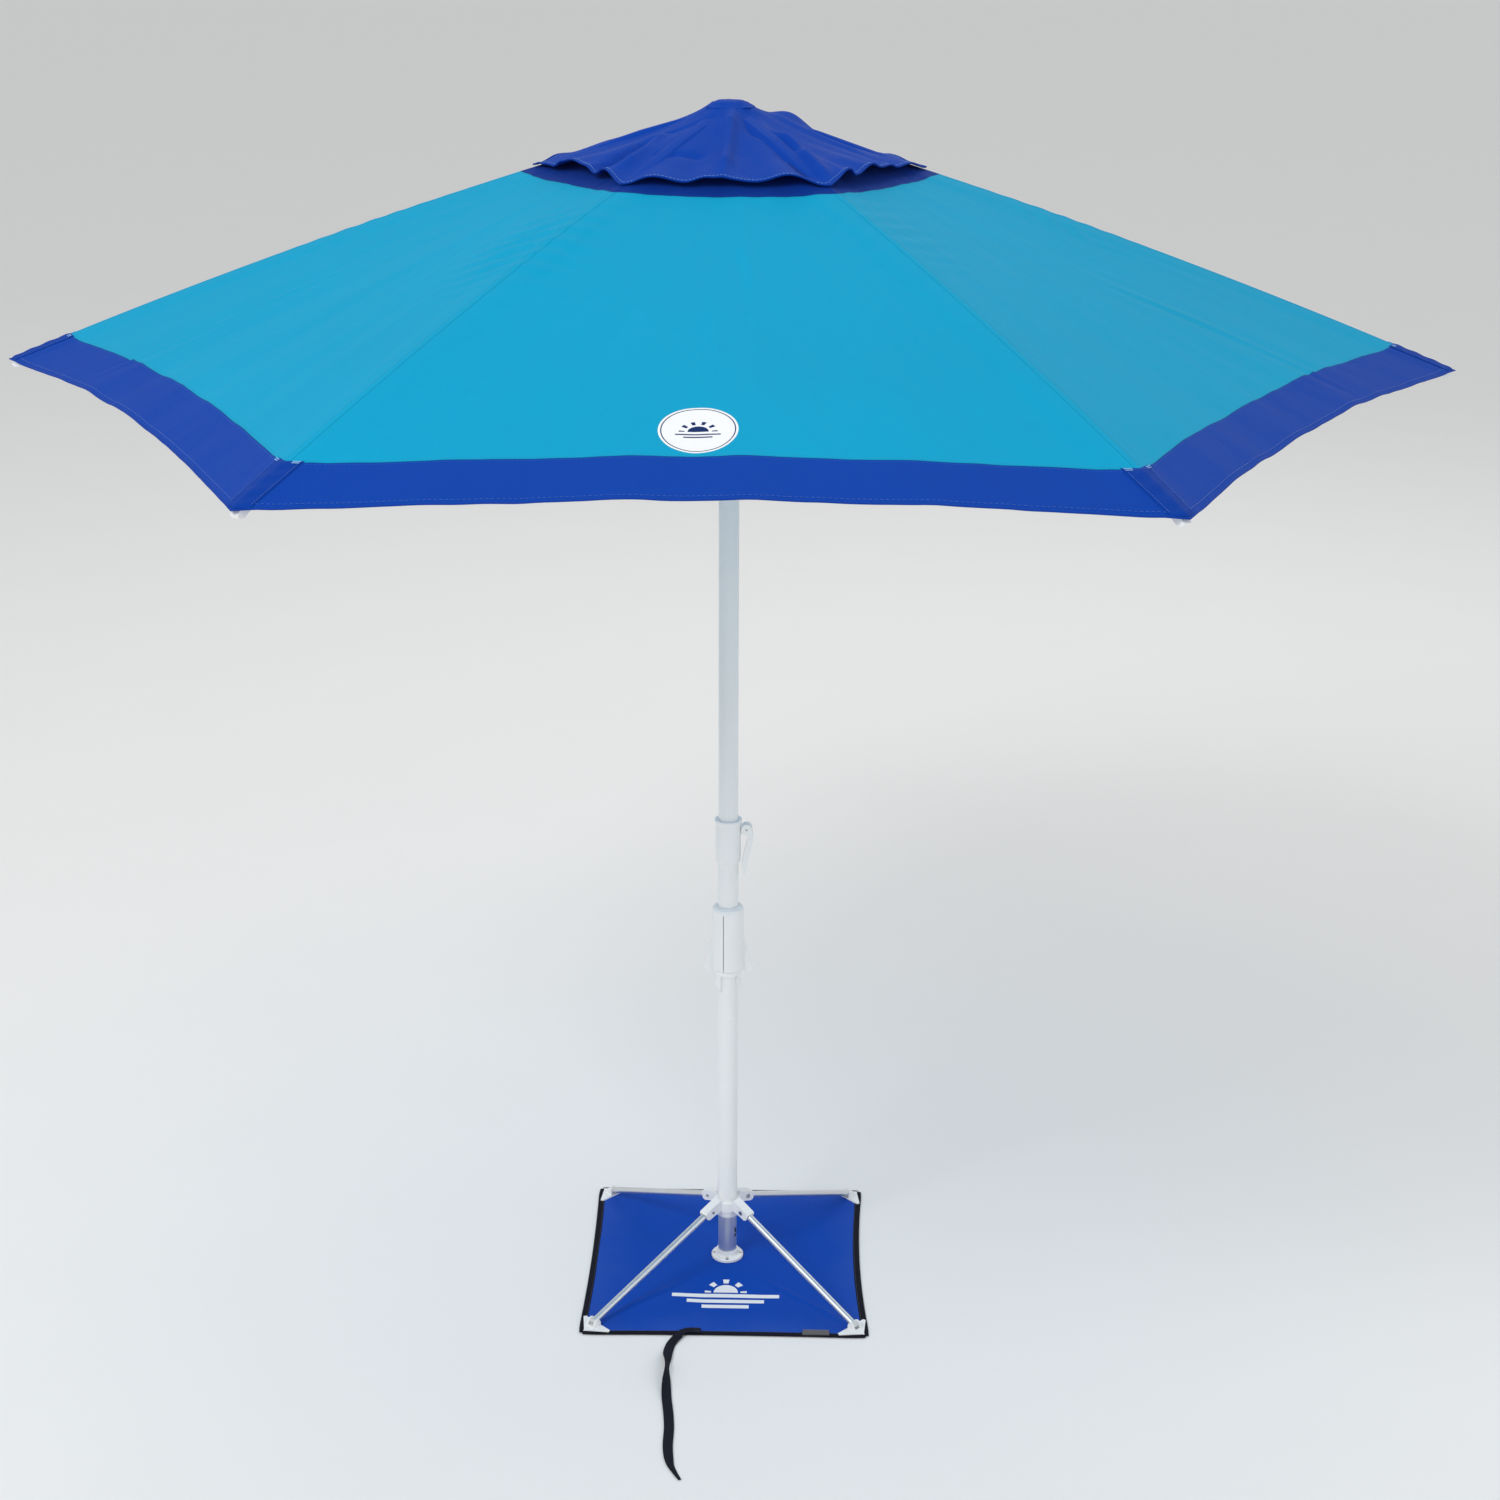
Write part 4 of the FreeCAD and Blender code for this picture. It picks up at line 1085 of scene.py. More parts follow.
@dataclass
class Canopy:
    """The canopy: six panels sewn along the ribs, shared out between the ribs.

    Attributes:
        opening: Corner radius of the vent's opening.
        border: Corner radius of the border's seam.
        tip: The outer end of the ribs' line: out from the pole, and up.
        bow: How far the ribs bow upwards.
        lift: The cloth's top above the ribs' line.
        scallop: How far a panel's hem is cut in at its middle.
        sag: How far a panel hollows between its ribs.
        cloth: The cloth's thickness.
        pulls: Long creases: from, to and how high.
        rows: Vertices from the vent to the hem.
        columns: Vertices from rib to rib.
    """

    opening: float = 0.235
    border: float = 1.145
    tip: tuple[float, float] = (1.236, 1.770)
    bow: float = 0.018
    lift: float = 0.0064
    scallop: float = 0.031
    sag: float = 0.007
    cloth: float = 0.0009
    pulls: tuple[tuple[Point2, Point2, float], ...] = (
        ((0.620, -0.250), (1.000, -0.330), 0.0028),
        ((-0.600, -0.200), (-1.020, -0.290), 0.0026), ((0.560, 0.330), (0.780, 0.620), 0.0030),
        ((-0.450, 0.420), (-0.640, 0.800), 0.0030), ((0.100, 0.500), (0.150, 0.900), 0.0022),
        ((0.030, -0.420), (0.060, -0.800), 0.0014))
    rows: int = 120
    columns: int = 121
    folds: list[Fold] = field(default_factory=list)
    sheets: list[bpy.types.Object] = field(default_factory=list)
    extras: dict[int, list[bpy.types.Object]] = field(default_factory=dict)

    def __post_init__(self) -> None:
        """Reads the hinge and the corner from the frame, and works out the ribs' arc."""
        hinge = next(j for j in frame["joints"] if j["name"] == "canopy_fold")["pos_m"]
        self.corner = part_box("canopy_1")[1].x
        start, end = Vector((hinge[0], hinge[2])), Vector(self.tip)
        chord = (end - start).length
        self.radius = chord ** 2 / (8 * self.bow) + self.bow / 2
        along = (end - start).normalized()
        up = Vector((-along.y, along.x))
        self.centre = (start + end) / 2 - up * (self.radius - self.bow)
        for k in range(RIBS):
            joint = "canopy_fold" if k == 0 else f"rib_{k + 1}_fold"
            self.folds.append(Fold(f"rib_{k + 1}", joint, 60.0 * k, (0.7, 1.95), 0.115))
            self.extras[k] = []

    def height(self, reach: np.ndarray) -> np.ndarray:
        """The height of the cloth's top on a rib, so far out."""
        bowed = np.sqrt(self.radius ** 2 - (reach - self.centre.x) ** 2)
        return self.centre.y + bowed + self.lift

    def rule(self) -> Rule:
        """The whole sheet by rule: six grids bent to the panels' shape, then creased."""
        numbers = ("Opening", "Corner", "Arc Radius", "Arc Out", "Arc Up", "Lift", "Scallop",
                   "Sag", "Seed")
        kinds = {name: Input.NUMBER for name in numbers}
        tree = Rule("canopy_sheet", {**kinds, "Rows": Input.COUNT, "Columns": Input.COUNT})
        grid = tree.step("MeshGrid", Size_X=1.0, Size_Y=1.0, Vertices_X=tree.given("Rows"),
                         Vertices_Y=tree.given("Columns"))
        dots = tree.step("Points", Count=RIBS)
        index = tree.out(tree.node("GeometryNodeInputIndex"))
        keep = {"data_type": "FLOAT", "domain": "POINT"}
        dots = tree.step("StoreNamedAttribute", keep, Geometry=dots, Name="panel", Value=index)
        sheet = tree.step("InstanceOnPoints", Points=dots, Instance=grid)
        sheet = tree.step("RealizeInstances", Geometry=sheet)
        read = {"data_type": "FLOAT"}
        panel = tree.step("InputNamedAttribute", read, Name="panel")
        x, y, _ = tree.parts(tree.out(tree.node("GeometryNodeInputPosition")))
        along, side = x + 0.5, y * 2.0
        reach = along * (tree.given("Corner") - tree.given("Opening")) + tree.given("Opening")
        sheet = tree.step("StoreNamedAttribute", keep, Geometry=sheet, Name="reach", Value=reach)
        sheet = tree.step("StoreNamedAttribute", keep, Geometry=sheet, Name="side", Value=side)
        place = self.bent(tree, panel, along, side, reach)
        sheet = tree.step("SetPosition", Geometry=sheet, Position=place)
        kept_side = tree.step("InputNamedAttribute", read, Name="side")
        sheet = tree.step("SetPosition", Geometry=sheet, Offset=self.creases(tree, kept_side))
        sheet = tree.step("MergeByDistance", Geometry=sheet, Distance=0.0002)
        tree.close(tree.step("SetShadeSmooth", Geometry=sheet))
        return tree

    def bent(self, tree: Rule, panel: Wire, along: Wire, side: Wire, reach: Wire) -> Wire:
        """Where a point of a flat grid goes on its panel.

        Args:
            tree: The rule.
            panel: The panel's number.
            along: From 0 at the vent to 1 at the hem.
            side: From -1 on one rib to 1 on the next.
            reach: The corner radius there.

        Returns:
            The place.
        """
        flat = math.cos(math.pi / RIBS)
        middle = 1.0 - side * side
        out = reach * flat - tree.given("Scallop") * middle * along ** 6.0
        across = side * reach * 0.5
        off = out / flat - tree.given("Arc Out")
        arc = (tree.given("Arc Radius") ** 2.0 - off * off) ** 0.5
        hollow = tree.given("Sag") * middle * (along * math.pi).sine()
        beside = (1.0 - abs(side)) * reach * 0.5
        pocket = tree.ramp(beside, 0.030, 0.060, 0.0020, 0.0)
        up = arc + tree.given("Arc Up") + tree.given("Lift") - hollow + pocket
        angle = panel * (TURN / RIBS) + TURN / RIBS / 2
        sin, cos = angle.sine(), tree.math("COSINE", angle)
        return tree.join(out * cos - across * sin, out * sin + across * cos, up)

    def creases(self, tree: Rule, side: Wire) -> Wire:
        """How far the cloth stands off its stretched shape.

        Args:
            tree: The rule.
            side: From -1 on one rib to 1 on the next.

        Returns:
            The offset.
        """
        x, y, _ = tree.parts(tree.out(tree.node("GeometryNodeInputPosition")))
        seed = tree.given("Seed")
        reach = (x * x + y * y) ** 0.5
        free = 1.0 - side ** 4.0
        flow = tree.join(x / reach * 7.0, y / reach * 7.0, reach * 1.1)
        long = (tree.noise(flow, 1.0, 2.0, seed) - 0.5) * 0.016 * free * reach
        broad = (tree.noise(tree.join(x, y, 0.0), 1.9, 1.0, seed + 3.0) - 0.5) * 0.012 * free
        total = long + broad
        near = 1.0 - tree.ramp(abs(side), 0.80, 0.95, 0.0, 0.55)
        for azimuth, out, off, size in ((240, 0.53, -0.036, 0.0078), (300, 0.47, 0.03, 0.0034),
                                        (180, 0.62, 0.02, 0.0030), (0, 0.56, -0.02, 0.0032),
                                        (60, 0.60, 0.03, 0.0034), (120, 0.44, -0.03, 0.0032)):
            way, round_it = outward(azimuth)
            s = x * float(way[0]) + y * float(way[1])
            q = x * float(round_it[0]) + y * float(round_it[1])
            far = ((s - out) / 0.115) ** 2.0 + ((q - off) / 0.075) ** 2.0
            patch = tree.math("EXPONENT", -far)
            bend = tree.noise(tree.join(s, q, 0.0), 14.0, 1.0, seed + 5.0) * 5.0
            wave = ((s + q * 0.35) * (TURN / 0.044) + bend).sine() + 1.0
            total = total + patch * wave * (size / 2) * near
        for (ax, ay), (bx, by), size in self.pulls:
            dx, dy = bx - ax, by - ay
            run = dx * dx + dy * dy
            s = ((x - ax) * dx + (y - ay) * dy) / run
            off = ((x - ax) * dy - (y - ay) * dx) / math.sqrt(run) + (s * 3.0).sine() * 0.006
            ends = tree.ramp(abs(s - 0.5), 0.30, 0.62, 1.0, 0.0)
            line = tree.math("EXPONENT", -((off / 0.009) ** 2.0))
            line = line - tree.math("EXPONENT", -(((off - 0.016) / 0.011) ** 2.0)) * 0.6
            total = total + line * ends * size
        return tree.join(0.0, 0.0, total)

    def build(self) -> None:
        """Makes the sheet and shares it out between the ribs."""
        values = {"Opening": self.opening, "Corner": self.corner, "Arc Radius": self.radius,
                  "Arc Out": self.centre.x, "Arc Up": self.centre.y, "Lift": self.lift,
                  "Scallop": self.scallop, "Sag": self.sag, "Seed": 4.0, "Rows": self.rows,
                  "Columns": self.columns}
        whole = self.rule().run(bpy.data.meshes.new("empty"), Finish.CANOPY.material, values)
        net, read = net_of(whole, ["reach"])
        net.face_up()
        self.tree = BVHTree.FromPolygons(net.points.tolist(), net.faces)
        self.net, self.reach = net, read["reach"]
        middles = np.array([net.points[list(f)].mean(axis=0) for f in net.faces])
        azimuths = np.degrees(np.arctan2(middles[:, 1], middles[:, 0]))
        owner = np.round(azimuths / 60).astype(int) % RIBS
        for k, fold in enumerate(self.folds):
            away, across = outward(fold.azimuth)
            side = net.points @ across / math.cos(math.pi / RIBS)
            net.maps["cloth"] = np.stack([side, self.reach], axis=1)
            net.maps["label"] = self.label_map(k)
            part = net.part(np.flatnonzero(owner == k)).thick(self.cloth)
            part.maps["label"][len(part.points) // 2:] = 9.0
            made = piece(f"canopy_sheet_{k + 1}", part.mesh(f"canopy_sheet_{k + 1}"),
                         Finish.CANOPY.material)
            fold.take(made, "canopy_cloth")
            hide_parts(f"canopy_{k + 1}")
            self.sheets.append(made)

    def label_map(self, rib: int) -> np.ndarray:
        """How far each vertex is from the label's middle, on the two ribs that share it."""
        if rib not in (4, 5):
            return np.full((len(self.net.points), 2), 9.0)
        slope = (self.border - self.reach) * math.cos(math.pi / RIBS) * 1.13
        return np.stack([self.net.points[:, 0] + 0.0205, slope - 0.083], axis=1)

    def drop(self, x: float, y: float, raised: float = 0.0) -> np.ndarray:
        """The point of the cloth above (x, y), raised along its normal."""
        place, normal, _, _ = self.tree.ray_cast(Vector((x, y, 4.0)), Vector((0, 0, -1)))
        if place is None:
            place, normal, _, _ = self.tree.find_nearest(
                Vector((x, y, float(self.height(np.array(math.hypot(x, y)))))))
        if normal.z < 0:
            normal = -normal
        return np.array(place + normal * raised)

    def across_sector(self, rib: int, reach: float, raised: float, inset: float = 0.0,
                      steps: int = 61) -> np.ndarray:
        """A row of points at one corner radius, over the cloth of one rib.

        Args:
            rib: The rib's number, from 0.
            reach: The corner radius.
            raised: How far above the cloth.
            inset: How far the hem's own scallop is followed, 1 for all of it.
            steps: How many points.

        Returns:
            The points.
        """
        flat, line = math.cos(math.pi / RIBS), []
        for n in range(steps):
            azimuth = 60.0 * rib - 30.0 + 60.0 * n / (steps - 1)
            panel = 60.0 * math.floor(azimuth / 60.0) + 30.0
            if n == steps - 1:
                panel = 60.0 * rib + 30.0
            away, across = outward(panel)
            side = math.tan(math.radians(azimuth - panel)) / math.tan(math.pi / RIBS)
            share = ((reach - self.opening) / (self.corner - self.opening)) ** 6
            out = reach * flat - self.scallop * (1 - side * side) * share * inset
            spot = away * out + across * side * reach * 0.5
            line.append(self.drop(spot[0], spot[1], raised))
        return np.array(line)

    def sew(self) -> None:
        for k, fold in enumerate(self.folds):
            hem = self.across_sector(k, self.corner - 0.0016, -0.0004, 1.0, 91)
            edge = piece(f"canopy_hem_{k + 1}", Tape(0.0050, 0.0026).along(hem, Finish.POCKET),
                         Finish.POCKET.material)
            rows = [self.across_sector(k, self.corner - 0.012, 0.0003, 1.0, 91)]
            sewn = Sewing().rows(f"canopy_stitches_{k + 1}", rows, Finish.ROYAL_THREAD)
            for made in (edge, sewn, self.pocket(k), *self.tacks(k)):
                fold.take(made, "canopy_cloth")
                self.extras[k].append(made)
            chart(edge)
            f"rib_{k + 1}"

    def pocket(self, rib: int) -> bpy.types.Object:
        """The patch over a rib's end: folded over the ridge, with a turned edge."""
        away, across = outward(60.0 * rib)
        long, wide = 25, 19
        points, maps = [], []
        for i in range(long):
            for j in range(wide):
                s, w = i / (long - 1), j / (wide - 1) * 2 - 1
                reach = 1.139 + 0.106 * s
                half = 0.0225 * (1.0 - 0.10 * s)
                drawn = abs(w) * half * math.tan(math.pi / RIBS)
                spot = away * (reach - drawn) + across * w * half
                edge = max(abs(w) ** 8, abs(2 * s - 1) ** 14)
                puff = 0.0016 * (1 - edge) + 0.0006 + 0.0006 * math.sin(s * 21 + w * 2) * (1 - edge)
                points.append(self.drop(spot[0], spot[1], puff))
                maps.append((w * half, reach))
        flat, _ = net_of(Net(np.array(points), grid(long, wide, closed=False)).mesh("pocket"))
        flat.face_up()
        flat.maps["cloth"] = np.array(maps)
        name = f"tip_pocket_{rib + 1}"
        return piece(name, flat.thick(0.0012).mesh(name), Finish.POCKET.material)

    def tacks(self, rib: int) -> tuple[bpy.types.Object, bpy.types.Object]:
        """The rows along a pocket's sides, and the bar tacks at its inner corners."""
        away, across = outward(60.0 * rib)
        tan, rows, bars = math.tan(math.pi / RIBS), [], []
        for side in (-1, 1):
            row = []
            for n in range(24):
                reach = 1.143 + 0.094 * n / 23
                half = 0.0198 * (1.0 - 0.10 * n / 23)
                spot = away * (reach - half * tan) + across * side * half
                row.append(self.drop(spot[0], spot[1], 0.0022))
            rows.append(np.array(row))
            tack = []
            for n in range(15):
                reach = 1.1435 + 0.0035 * (n % 2)
                half = 0.0205 - 0.0085 * n / 14
                spot = away * (reach - half * tan) + across * side * half
                tack.append(self.drop(spot[0], spot[1], 0.0030))
            bars.append(np.array(tack))
        sewing = Sewing(0.0046, 0.0036, 0.0012)
        sides = sewing.rows(f"pocket_stitches_{rib + 1}", rows, Finish.ROYAL_THREAD)
        ends = Sewing(0.0036, 0.0034, 0.0015).rows(f"bar_tacks_{rib + 1}", bars, Finish.PALE_THREAD)
        return sides, ends


# ---------------------------------------------------------------- vent cap and crown

@dataclass
class VentCap:
    """The loose cap over the vent, and the round crown over the finial.

    Attributes:
        top: Corner radius and height of its inner edge.
        hem: Corner radius of its hem.
        slope: How far it drops for each metre outwards.
        cloth: Its thickness.
        rows: Vertices from the crown to the hem.
        columns: Vertices round it.
        waves: Azimuths, and how far the hem stands up there, in thousandths.
        ridges: The folds on it: from, to, how high and how wide.
    """

    top: tuple[float, float] = (0.030, 2.2125)
    hem: float = 0.331
    slope: float = 0.350
    cloth: float = 0.0009
    rows: int = 84
    columns: int = 720
    waves: tuple[tuple[float, float], ...] = (
        (0, 1), (20, 12), (34, 5), (47, 14), (60, 1), (74, 12), (88, 5), (101, 15), (112, 6),
        (120, 1), (134, 13), (150, 6), (166, 12), (180, 1), (184, 6), (192, 5), (200, 17),
        (209, 23), (217, 18), (224, 9), (231, 19), (240, 0), (248, 12), (257, 4), (264, 12),
        (271, 9), (279, 5), (289, 16), (300, 0), (309, 22), (314, 10), (324, 23), (332, 14),
        (337, 16), (343, 9), (351, 12), (360, 1))
    ridges: tuple[tuple[Point2, Point2, float, float], ...] = (
        ((0.006, -0.030), (-0.004, -0.270), 0.0150, 0.012),
        ((0.028, -0.030), (0.048, -0.110), -0.0120, 0.012),
        ((0.048, -0.100), (0.120, -0.170), -0.0100, 0.013),
        ((0.085, -0.090), (0.165, -0.270), 0.0120, 0.012),
        ((0.070, -0.130), (0.135, -0.265), -0.0060, 0.012),
        ((-0.130, -0.070), (-0.205, -0.190), -0.0130, 0.014),
        ((-0.105, -0.080), (-0.165, -0.215), 0.0085, 0.012),
        ((-0.020, -0.060), (-0.125, -0.075), -0.0045, 0.009),
        ((-0.040, -0.190), (-0.115, -0.180), -0.0040, 0.010),
        ((0.060, 0.010), (0.230, -0.060), 0.0060, 0.014),
        ((-0.060, 0.050), (-0.240, 0.060), 0.0050, 0.016),
        ((0.010, 0.060), (0.020, 0.270), 0.0080, 0.014),
        ((-0.050, 0.080), (-0.120, 0.220), 0.0060, 0.013))

    def lifted(self, azimuth: float) -> float:
        """How far the hem stands off the canopy at an azimuth in degrees."""
        turn = azimuth % 360.0
        for (a, low), (b, high) in zip(self.waves, self.waves[1:]):
            if a <= turn <= b:
                share = (1 - math.cos(math.pi * (turn - a) / (b - a))) / 2
                return (low + (high - low) * share) / 1000
        return 0.0

    def surface(self, azimuth: float, reach: float) -> tuple[float, float, float]:
        """The loose cloth's place at an azimuth in degrees and a corner radius."""
        turn = math.radians(azimuth)
        panel = math.radians(60.0 * math.floor(azimuth / 60.0) + 30.0)
        side = math.tan(turn - panel) / math.tan(math.pi / RIBS)
        share = max(0.0, (reach - self.top[0]) / (self.hem - self.top[0]))
        flat = math.cos(math.pi / RIBS) / math.cos(turn - panel)
        soft = 1.0 + (flat - 1.0) * min(1.0, share * 1.6)
        raised = self.lifted(azimuth)
        drift = noise.noise(Vector((math.cos(turn) * 1.6, math.sin(turn) * 1.6, share * 1.3)))
        out = reach * soft * (1.0 - 0.012 * (1 - side * side) * share ** 3)
        out += share ** 3 * (0.20 * raised + 0.003 * drift)
        x, y = out * math.cos(turn), out * math.sin(turn)
        away = reach - self.top[0]
        up = self.top[1] - self.slope * away
        up -= 0.0120 * (1 - math.exp(-away / 0.030)) * (1 - share ** 2)
        up += raised * share ** 2.6
        loose = math.sin(math.pi * min(1.0, share * 1.1)) * (1 - 0.5 * abs(side) ** 4)
        folded = noise.noise(Vector((math.cos(turn) * 2.6, math.sin(turn) * 2.6, share * 1.6)))
        up += loose * (0.0055 * folded + 0.0030 * drift)
        up += 0.020 * math.exp(-((x - 0.100) ** 2 + (y - 0.060) ** 2) / (2 * 0.028 ** 2))
        up += self.folds(x, y, share)
        creased = noise.noise(Vector((x * 30.0, y * 30.0, 4.0)))
        up += 0.0012 * creased * share
        least = self.top[1] - 0.0335 - 0.344 * (reach - 0.030) + 0.021
        nearest = abs((azimuth + 30.0) % 60.0 - 30.0)
        beside = math.sin(math.radians(nearest)) * out
        rods = least + 0.0075 * min(1.0, (reach - 0.030) / 0.12) - max(0.0, beside - 0.010) * 0.8
        return x, y, max(up, rods)

    def folds(self, x: float, y: float, share: float) -> float:
        """The ridges and valleys on the front of the cap.

        Args:
            x: Across.
            y: Along.
            share: From 0 at the crown to 1 at the hem.

        Returns:
            How far the cloth is raised there.
        """
        total = 0.0
        for (ax, ay), (bx, by), size, wide in self.ridges:
            dx, dy = bx - ax, by - ay
            s = ((x - ax) * dx + (y - ay) * dy) / (dx * dx + dy * dy)
            if -0.10 < s < 1.12:
                off = ((x - ax) * dy - (y - ay) * dx) / math.hypot(dx, dy)
                ends = min(1.0, (s + 0.10) / 0.22) * min(1.0, (1.12 - s) / 0.3)
                total += size * math.exp(-(off / wide) ** 2) * ends
        return total * min(1.0, share * 5.0)

    def build(self, canopy: Canopy) -> None:
        """Makes the cap, its stitched hem and the crown.

        Args:
            canopy: The canopy, which the cap folds with.
        """
        azimuths = np.arange(self.columns) * (360.0 / self.columns)
        reaches = np.linspace(self.top[0], self.hem, self.rows)
        points = [self.surface(a, r) for r in reaches for a in azimuths]
        faces = grid(self.rows, self.columns)
        net, _ = net_of(Net(np.array(points), faces).mesh("cap_whole"))
        for k, fold in enumerate(canopy.folds):
            away, across = outward(fold.azimuth)
            net.maps["cloth"] = np.stack([net.points @ across, net.points @ away], axis=1)
            part = net.part(self.share(k)).thick(self.cloth)
            name = f"vent_cap_{k + 1}"
            made = piece(name, part.mesh(name), Finish.CAP.material)
            fold.take(made, "canopy_cloth")
            lines = [self.hem_line(k, self.hem - 0.0085, 0.0006),
                     self.hem_line(k, self.hem - 0.0015, 0.0006)]
            sewn = Sewing(0.0062, 0.0040, 0.0010).rows(f"cap_stitches_{k + 1}", lines[:1],
                                                      Finish.PALE_THREAD)
            name = f"cap_hem_{k + 1}"
            edge = piece(name, Tape(0.0045, 0.0026).along(lines[1], Finish.POCKET),
                         Finish.POCKET.material)
            chart(edge)
            for extra in (sewn, edge):
                fold.take(extra, "canopy_cloth")
            f"canopy_sheet_{k + 1}"
        self.crown()

    def share(self, rib: int) -> list[int]:
        """The faces of the cap that go with one rib."""
        wide = self.columns // RIBS
        first = rib * wide - wide // 2
        return [i * self.columns + j % self.columns for i in range(self.rows - 1)
                for j in range(first, first + wide)]

    def hem_line(self, rib: int, reach: float, raised: float) -> np.ndarray:
        """Points along the hem of one rib's share."""
        azimuths = np.linspace(60.0 * rib - 29.9, 60.0 * rib + 29.9, 121)
        return np.array([self.surface(a, reach) for a in azimuths]) + np.array([0, 0, raised])

    def crown(self) -> None:
        """The domed round patch that is gathered over the finial."""
        rings, count = 22, 96
        points, faces = [(0.0, 0.0, 2.2158)], []
        for i in range(1, rings + 1):
            share = i / rings
            for j in range(count):
                turn = TURN * j / count
                pucker = noise.noise(Vector((math.cos(turn) * 3.4, math.sin(turn) * 3.4, 2.0)))
                radius = 0.0420 * share * (1.0 + 0.04 * pucker * share)
                fall = min(1.0, max(0.0, (share - 0.48) / 0.52))
                drop = 0.0008 * share ** 2 + 0.0099 * fall ** 1.2
                up = 2.2158 - drop + 0.0011 * pucker * share
                points.append((radius * math.cos(turn), radius * math.sin(turn), up))
        faces += [(0, 1 + j, 1 + (j + 1) % count) for j in range(count)]
        faces += grid(rings, count, first=1)
        net, _ = net_of(Net(np.array(points), faces).mesh("crown_whole"))
        net.maps["cloth"] = net.points[:, :2].copy()
        made = piece("crown_patch", net.thick(0.0011).mesh("crown_patch"), Finish.CAP.material)
        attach(made, "upper_pole")


# ---------------------------------------------------------------- ground sheet

@dataclass
class GroundSheet:
    """The square ground sheet with its bound edge, in four panels that fold with the legs.

    Attributes:
        half: Half its side.
        hole: Radius of the hole at its middle.
        cloth: Its thickness.
        bows: How far each side is drawn in at its middle: front, right, back, left.
        cells: Cells along a side.
        binding: Width of the tape over its edge.
    """

    half: float = 0.2660
    hole: float = 0.0330
    cloth: float = 0.0009
    bows: tuple[float, float, float, float] = (0.004, 0.012, 0.005, 0.005)
    cells: int = 108
    binding: float = 0.0130

    def lay(self, p: float, q: float) -> tuple[float, float]:
        """Where a point of a flat square, from -1 to 1, lies on the ground."""
        front, right, back, left = self.bows
        x, y = p * self.half, q * self.half
        x -= (right if p > 0 else -left) * abs(p) ** 3 * (1 - q * q)
        y -= (back if q > 0 else -front) * abs(q) ** 3 * (1 - p * p)
        corner = min(1.0, max(0.0, (abs(p) + abs(q) - 1.86) / 0.14)) ** 2 * 0.0022
        return x - math.copysign(corner, p), y - math.copysign(corner, q)

    def up(self, x: float, y: float) -> float:
        """The height of the cloth's top over the ground."""
        radius = math.hypot(x, y)
        fall = min(1.0, max(0.0, (radius - 0.036) / 0.125))
        smooth = fall * fall * (3 - 2 * fall)
        base = 0.0096 * (1 - smooth) + 0.0014 * smooth
        away = min(1.0, max(0.0, (0.262 - max(abs(x), abs(y))) / 0.03)) * smooth
        ripple = noise.noise(Vector((x * 7.5, y * 7.5, 0.4))) + 0.35
        fine = noise.noise(Vector((x * 21.0, y * 21.0, 3.1)))
        lift = max(0.0, 0.0030 * ripple) + 0.0009 * max(0.0, fine)
        for way in (-1, 1):
            off = abs(y + x * way * 0.93 + 0.010) / 1.37
            if y < 0 and x * way > 0:
                lift += 0.0022 * math.exp(-(off / 0.006) ** 2) * min(1.0, radius / 0.2)
        return base + lift * away

    def fold(self, side: int) -> Fold:
        """How one panel folds."""
        azimuth = -90.0 + 90.0 * side
        return Fold(f"panel_{side + 1}", f"sheet_{side + 1}_fold", azimuth, (0.15, 0.0015), 0.1)

    def build(self) -> None:
        """Makes the panels, the middle, the binding and the patch of hooks."""
        n = self.cells + 1
        steps = np.linspace(-1, 1, n)
        flat = [self.lay(p, q) for q in steps for p in steps]
        points = np.array([(x, y, self.up(x, y)) for x, y in flat])
        faces, middles = [], []
        for j in range(n - 1):
            for i in range(n - 1):
                a = j * n + i
                quad = (a, a + 1, a + n + 1, a + n)
                flip = (steps[i] + steps[i + 1]) * (steps[j] + steps[j + 1]) > 0
                pair = ((quad[0], quad[1], quad[2]), (quad[0], quad[2], quad[3])) if flip else (
                    (quad[0], quad[1], quad[3]), (quad[1], quad[2], quad[3]))
                for face in pair:
                    middle = points[list(face)].mean(axis=0)
                    if math.hypot(middle[0], middle[1]) > self.hole:
                        faces.append(face)
                        middles.append(middle)
        near = np.hypot(points[:, 0], points[:, 1])
        snap = (near < self.hole + 0.0042) & (near > 1e-6)
        points[snap, :2] *= (self.hole / near[snap])[:, None]
        net, _ = net_of(Net(points, faces).mesh("ground_whole"))
        net.face_up()
        net.maps["cloth"] = net.points[:, :2].copy()
        mid = np.array(middles)
        azimuths = np.degrees(np.arctan2(mid[:, 1], mid[:, 0]))
        turn = np.round((azimuths + 90) / 90).astype(int) % SIDES
        for k in range(SIDES):
            name = f"ground_sheet_{k + 1}"
            part = net.part(np.flatnonzero(turn == k)).thick(self.cloth)
            made = piece(name, part.mesh(name), Finish.GROUND.material)
            self.fold(k).take(made, "sheet_cloth")
            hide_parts(f"sheet_panel_{k + 1}")
            self.bind(k)
        self.middle()
        self.hooks()

    def middle(self) -> None:
        """The round of cloth that is clamped between the foot and the flange."""
        rings, count, points = 8, 72, []
        for i in range(rings):
            radius = 0.020 + (self.hole - 0.0002 - 0.020) * i / (rings - 1)
            for j in range(count):
                turn = TURN * j / count
                points.append((radius * math.cos(turn), radius * math.sin(turn), 0.00945))
        net, _ = net_of(Net(np.array(points), grid(rings, count)).mesh("middle_whole"))
        net.maps["cloth"] = net.points[:, :2].copy()
        made = piece("ground_sheet_middle", net.thick(0.0009).mesh("ground_sheet_middle"),
                     Finish.GROUND.material)
        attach(made, "base")
        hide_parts("sheet_centre")

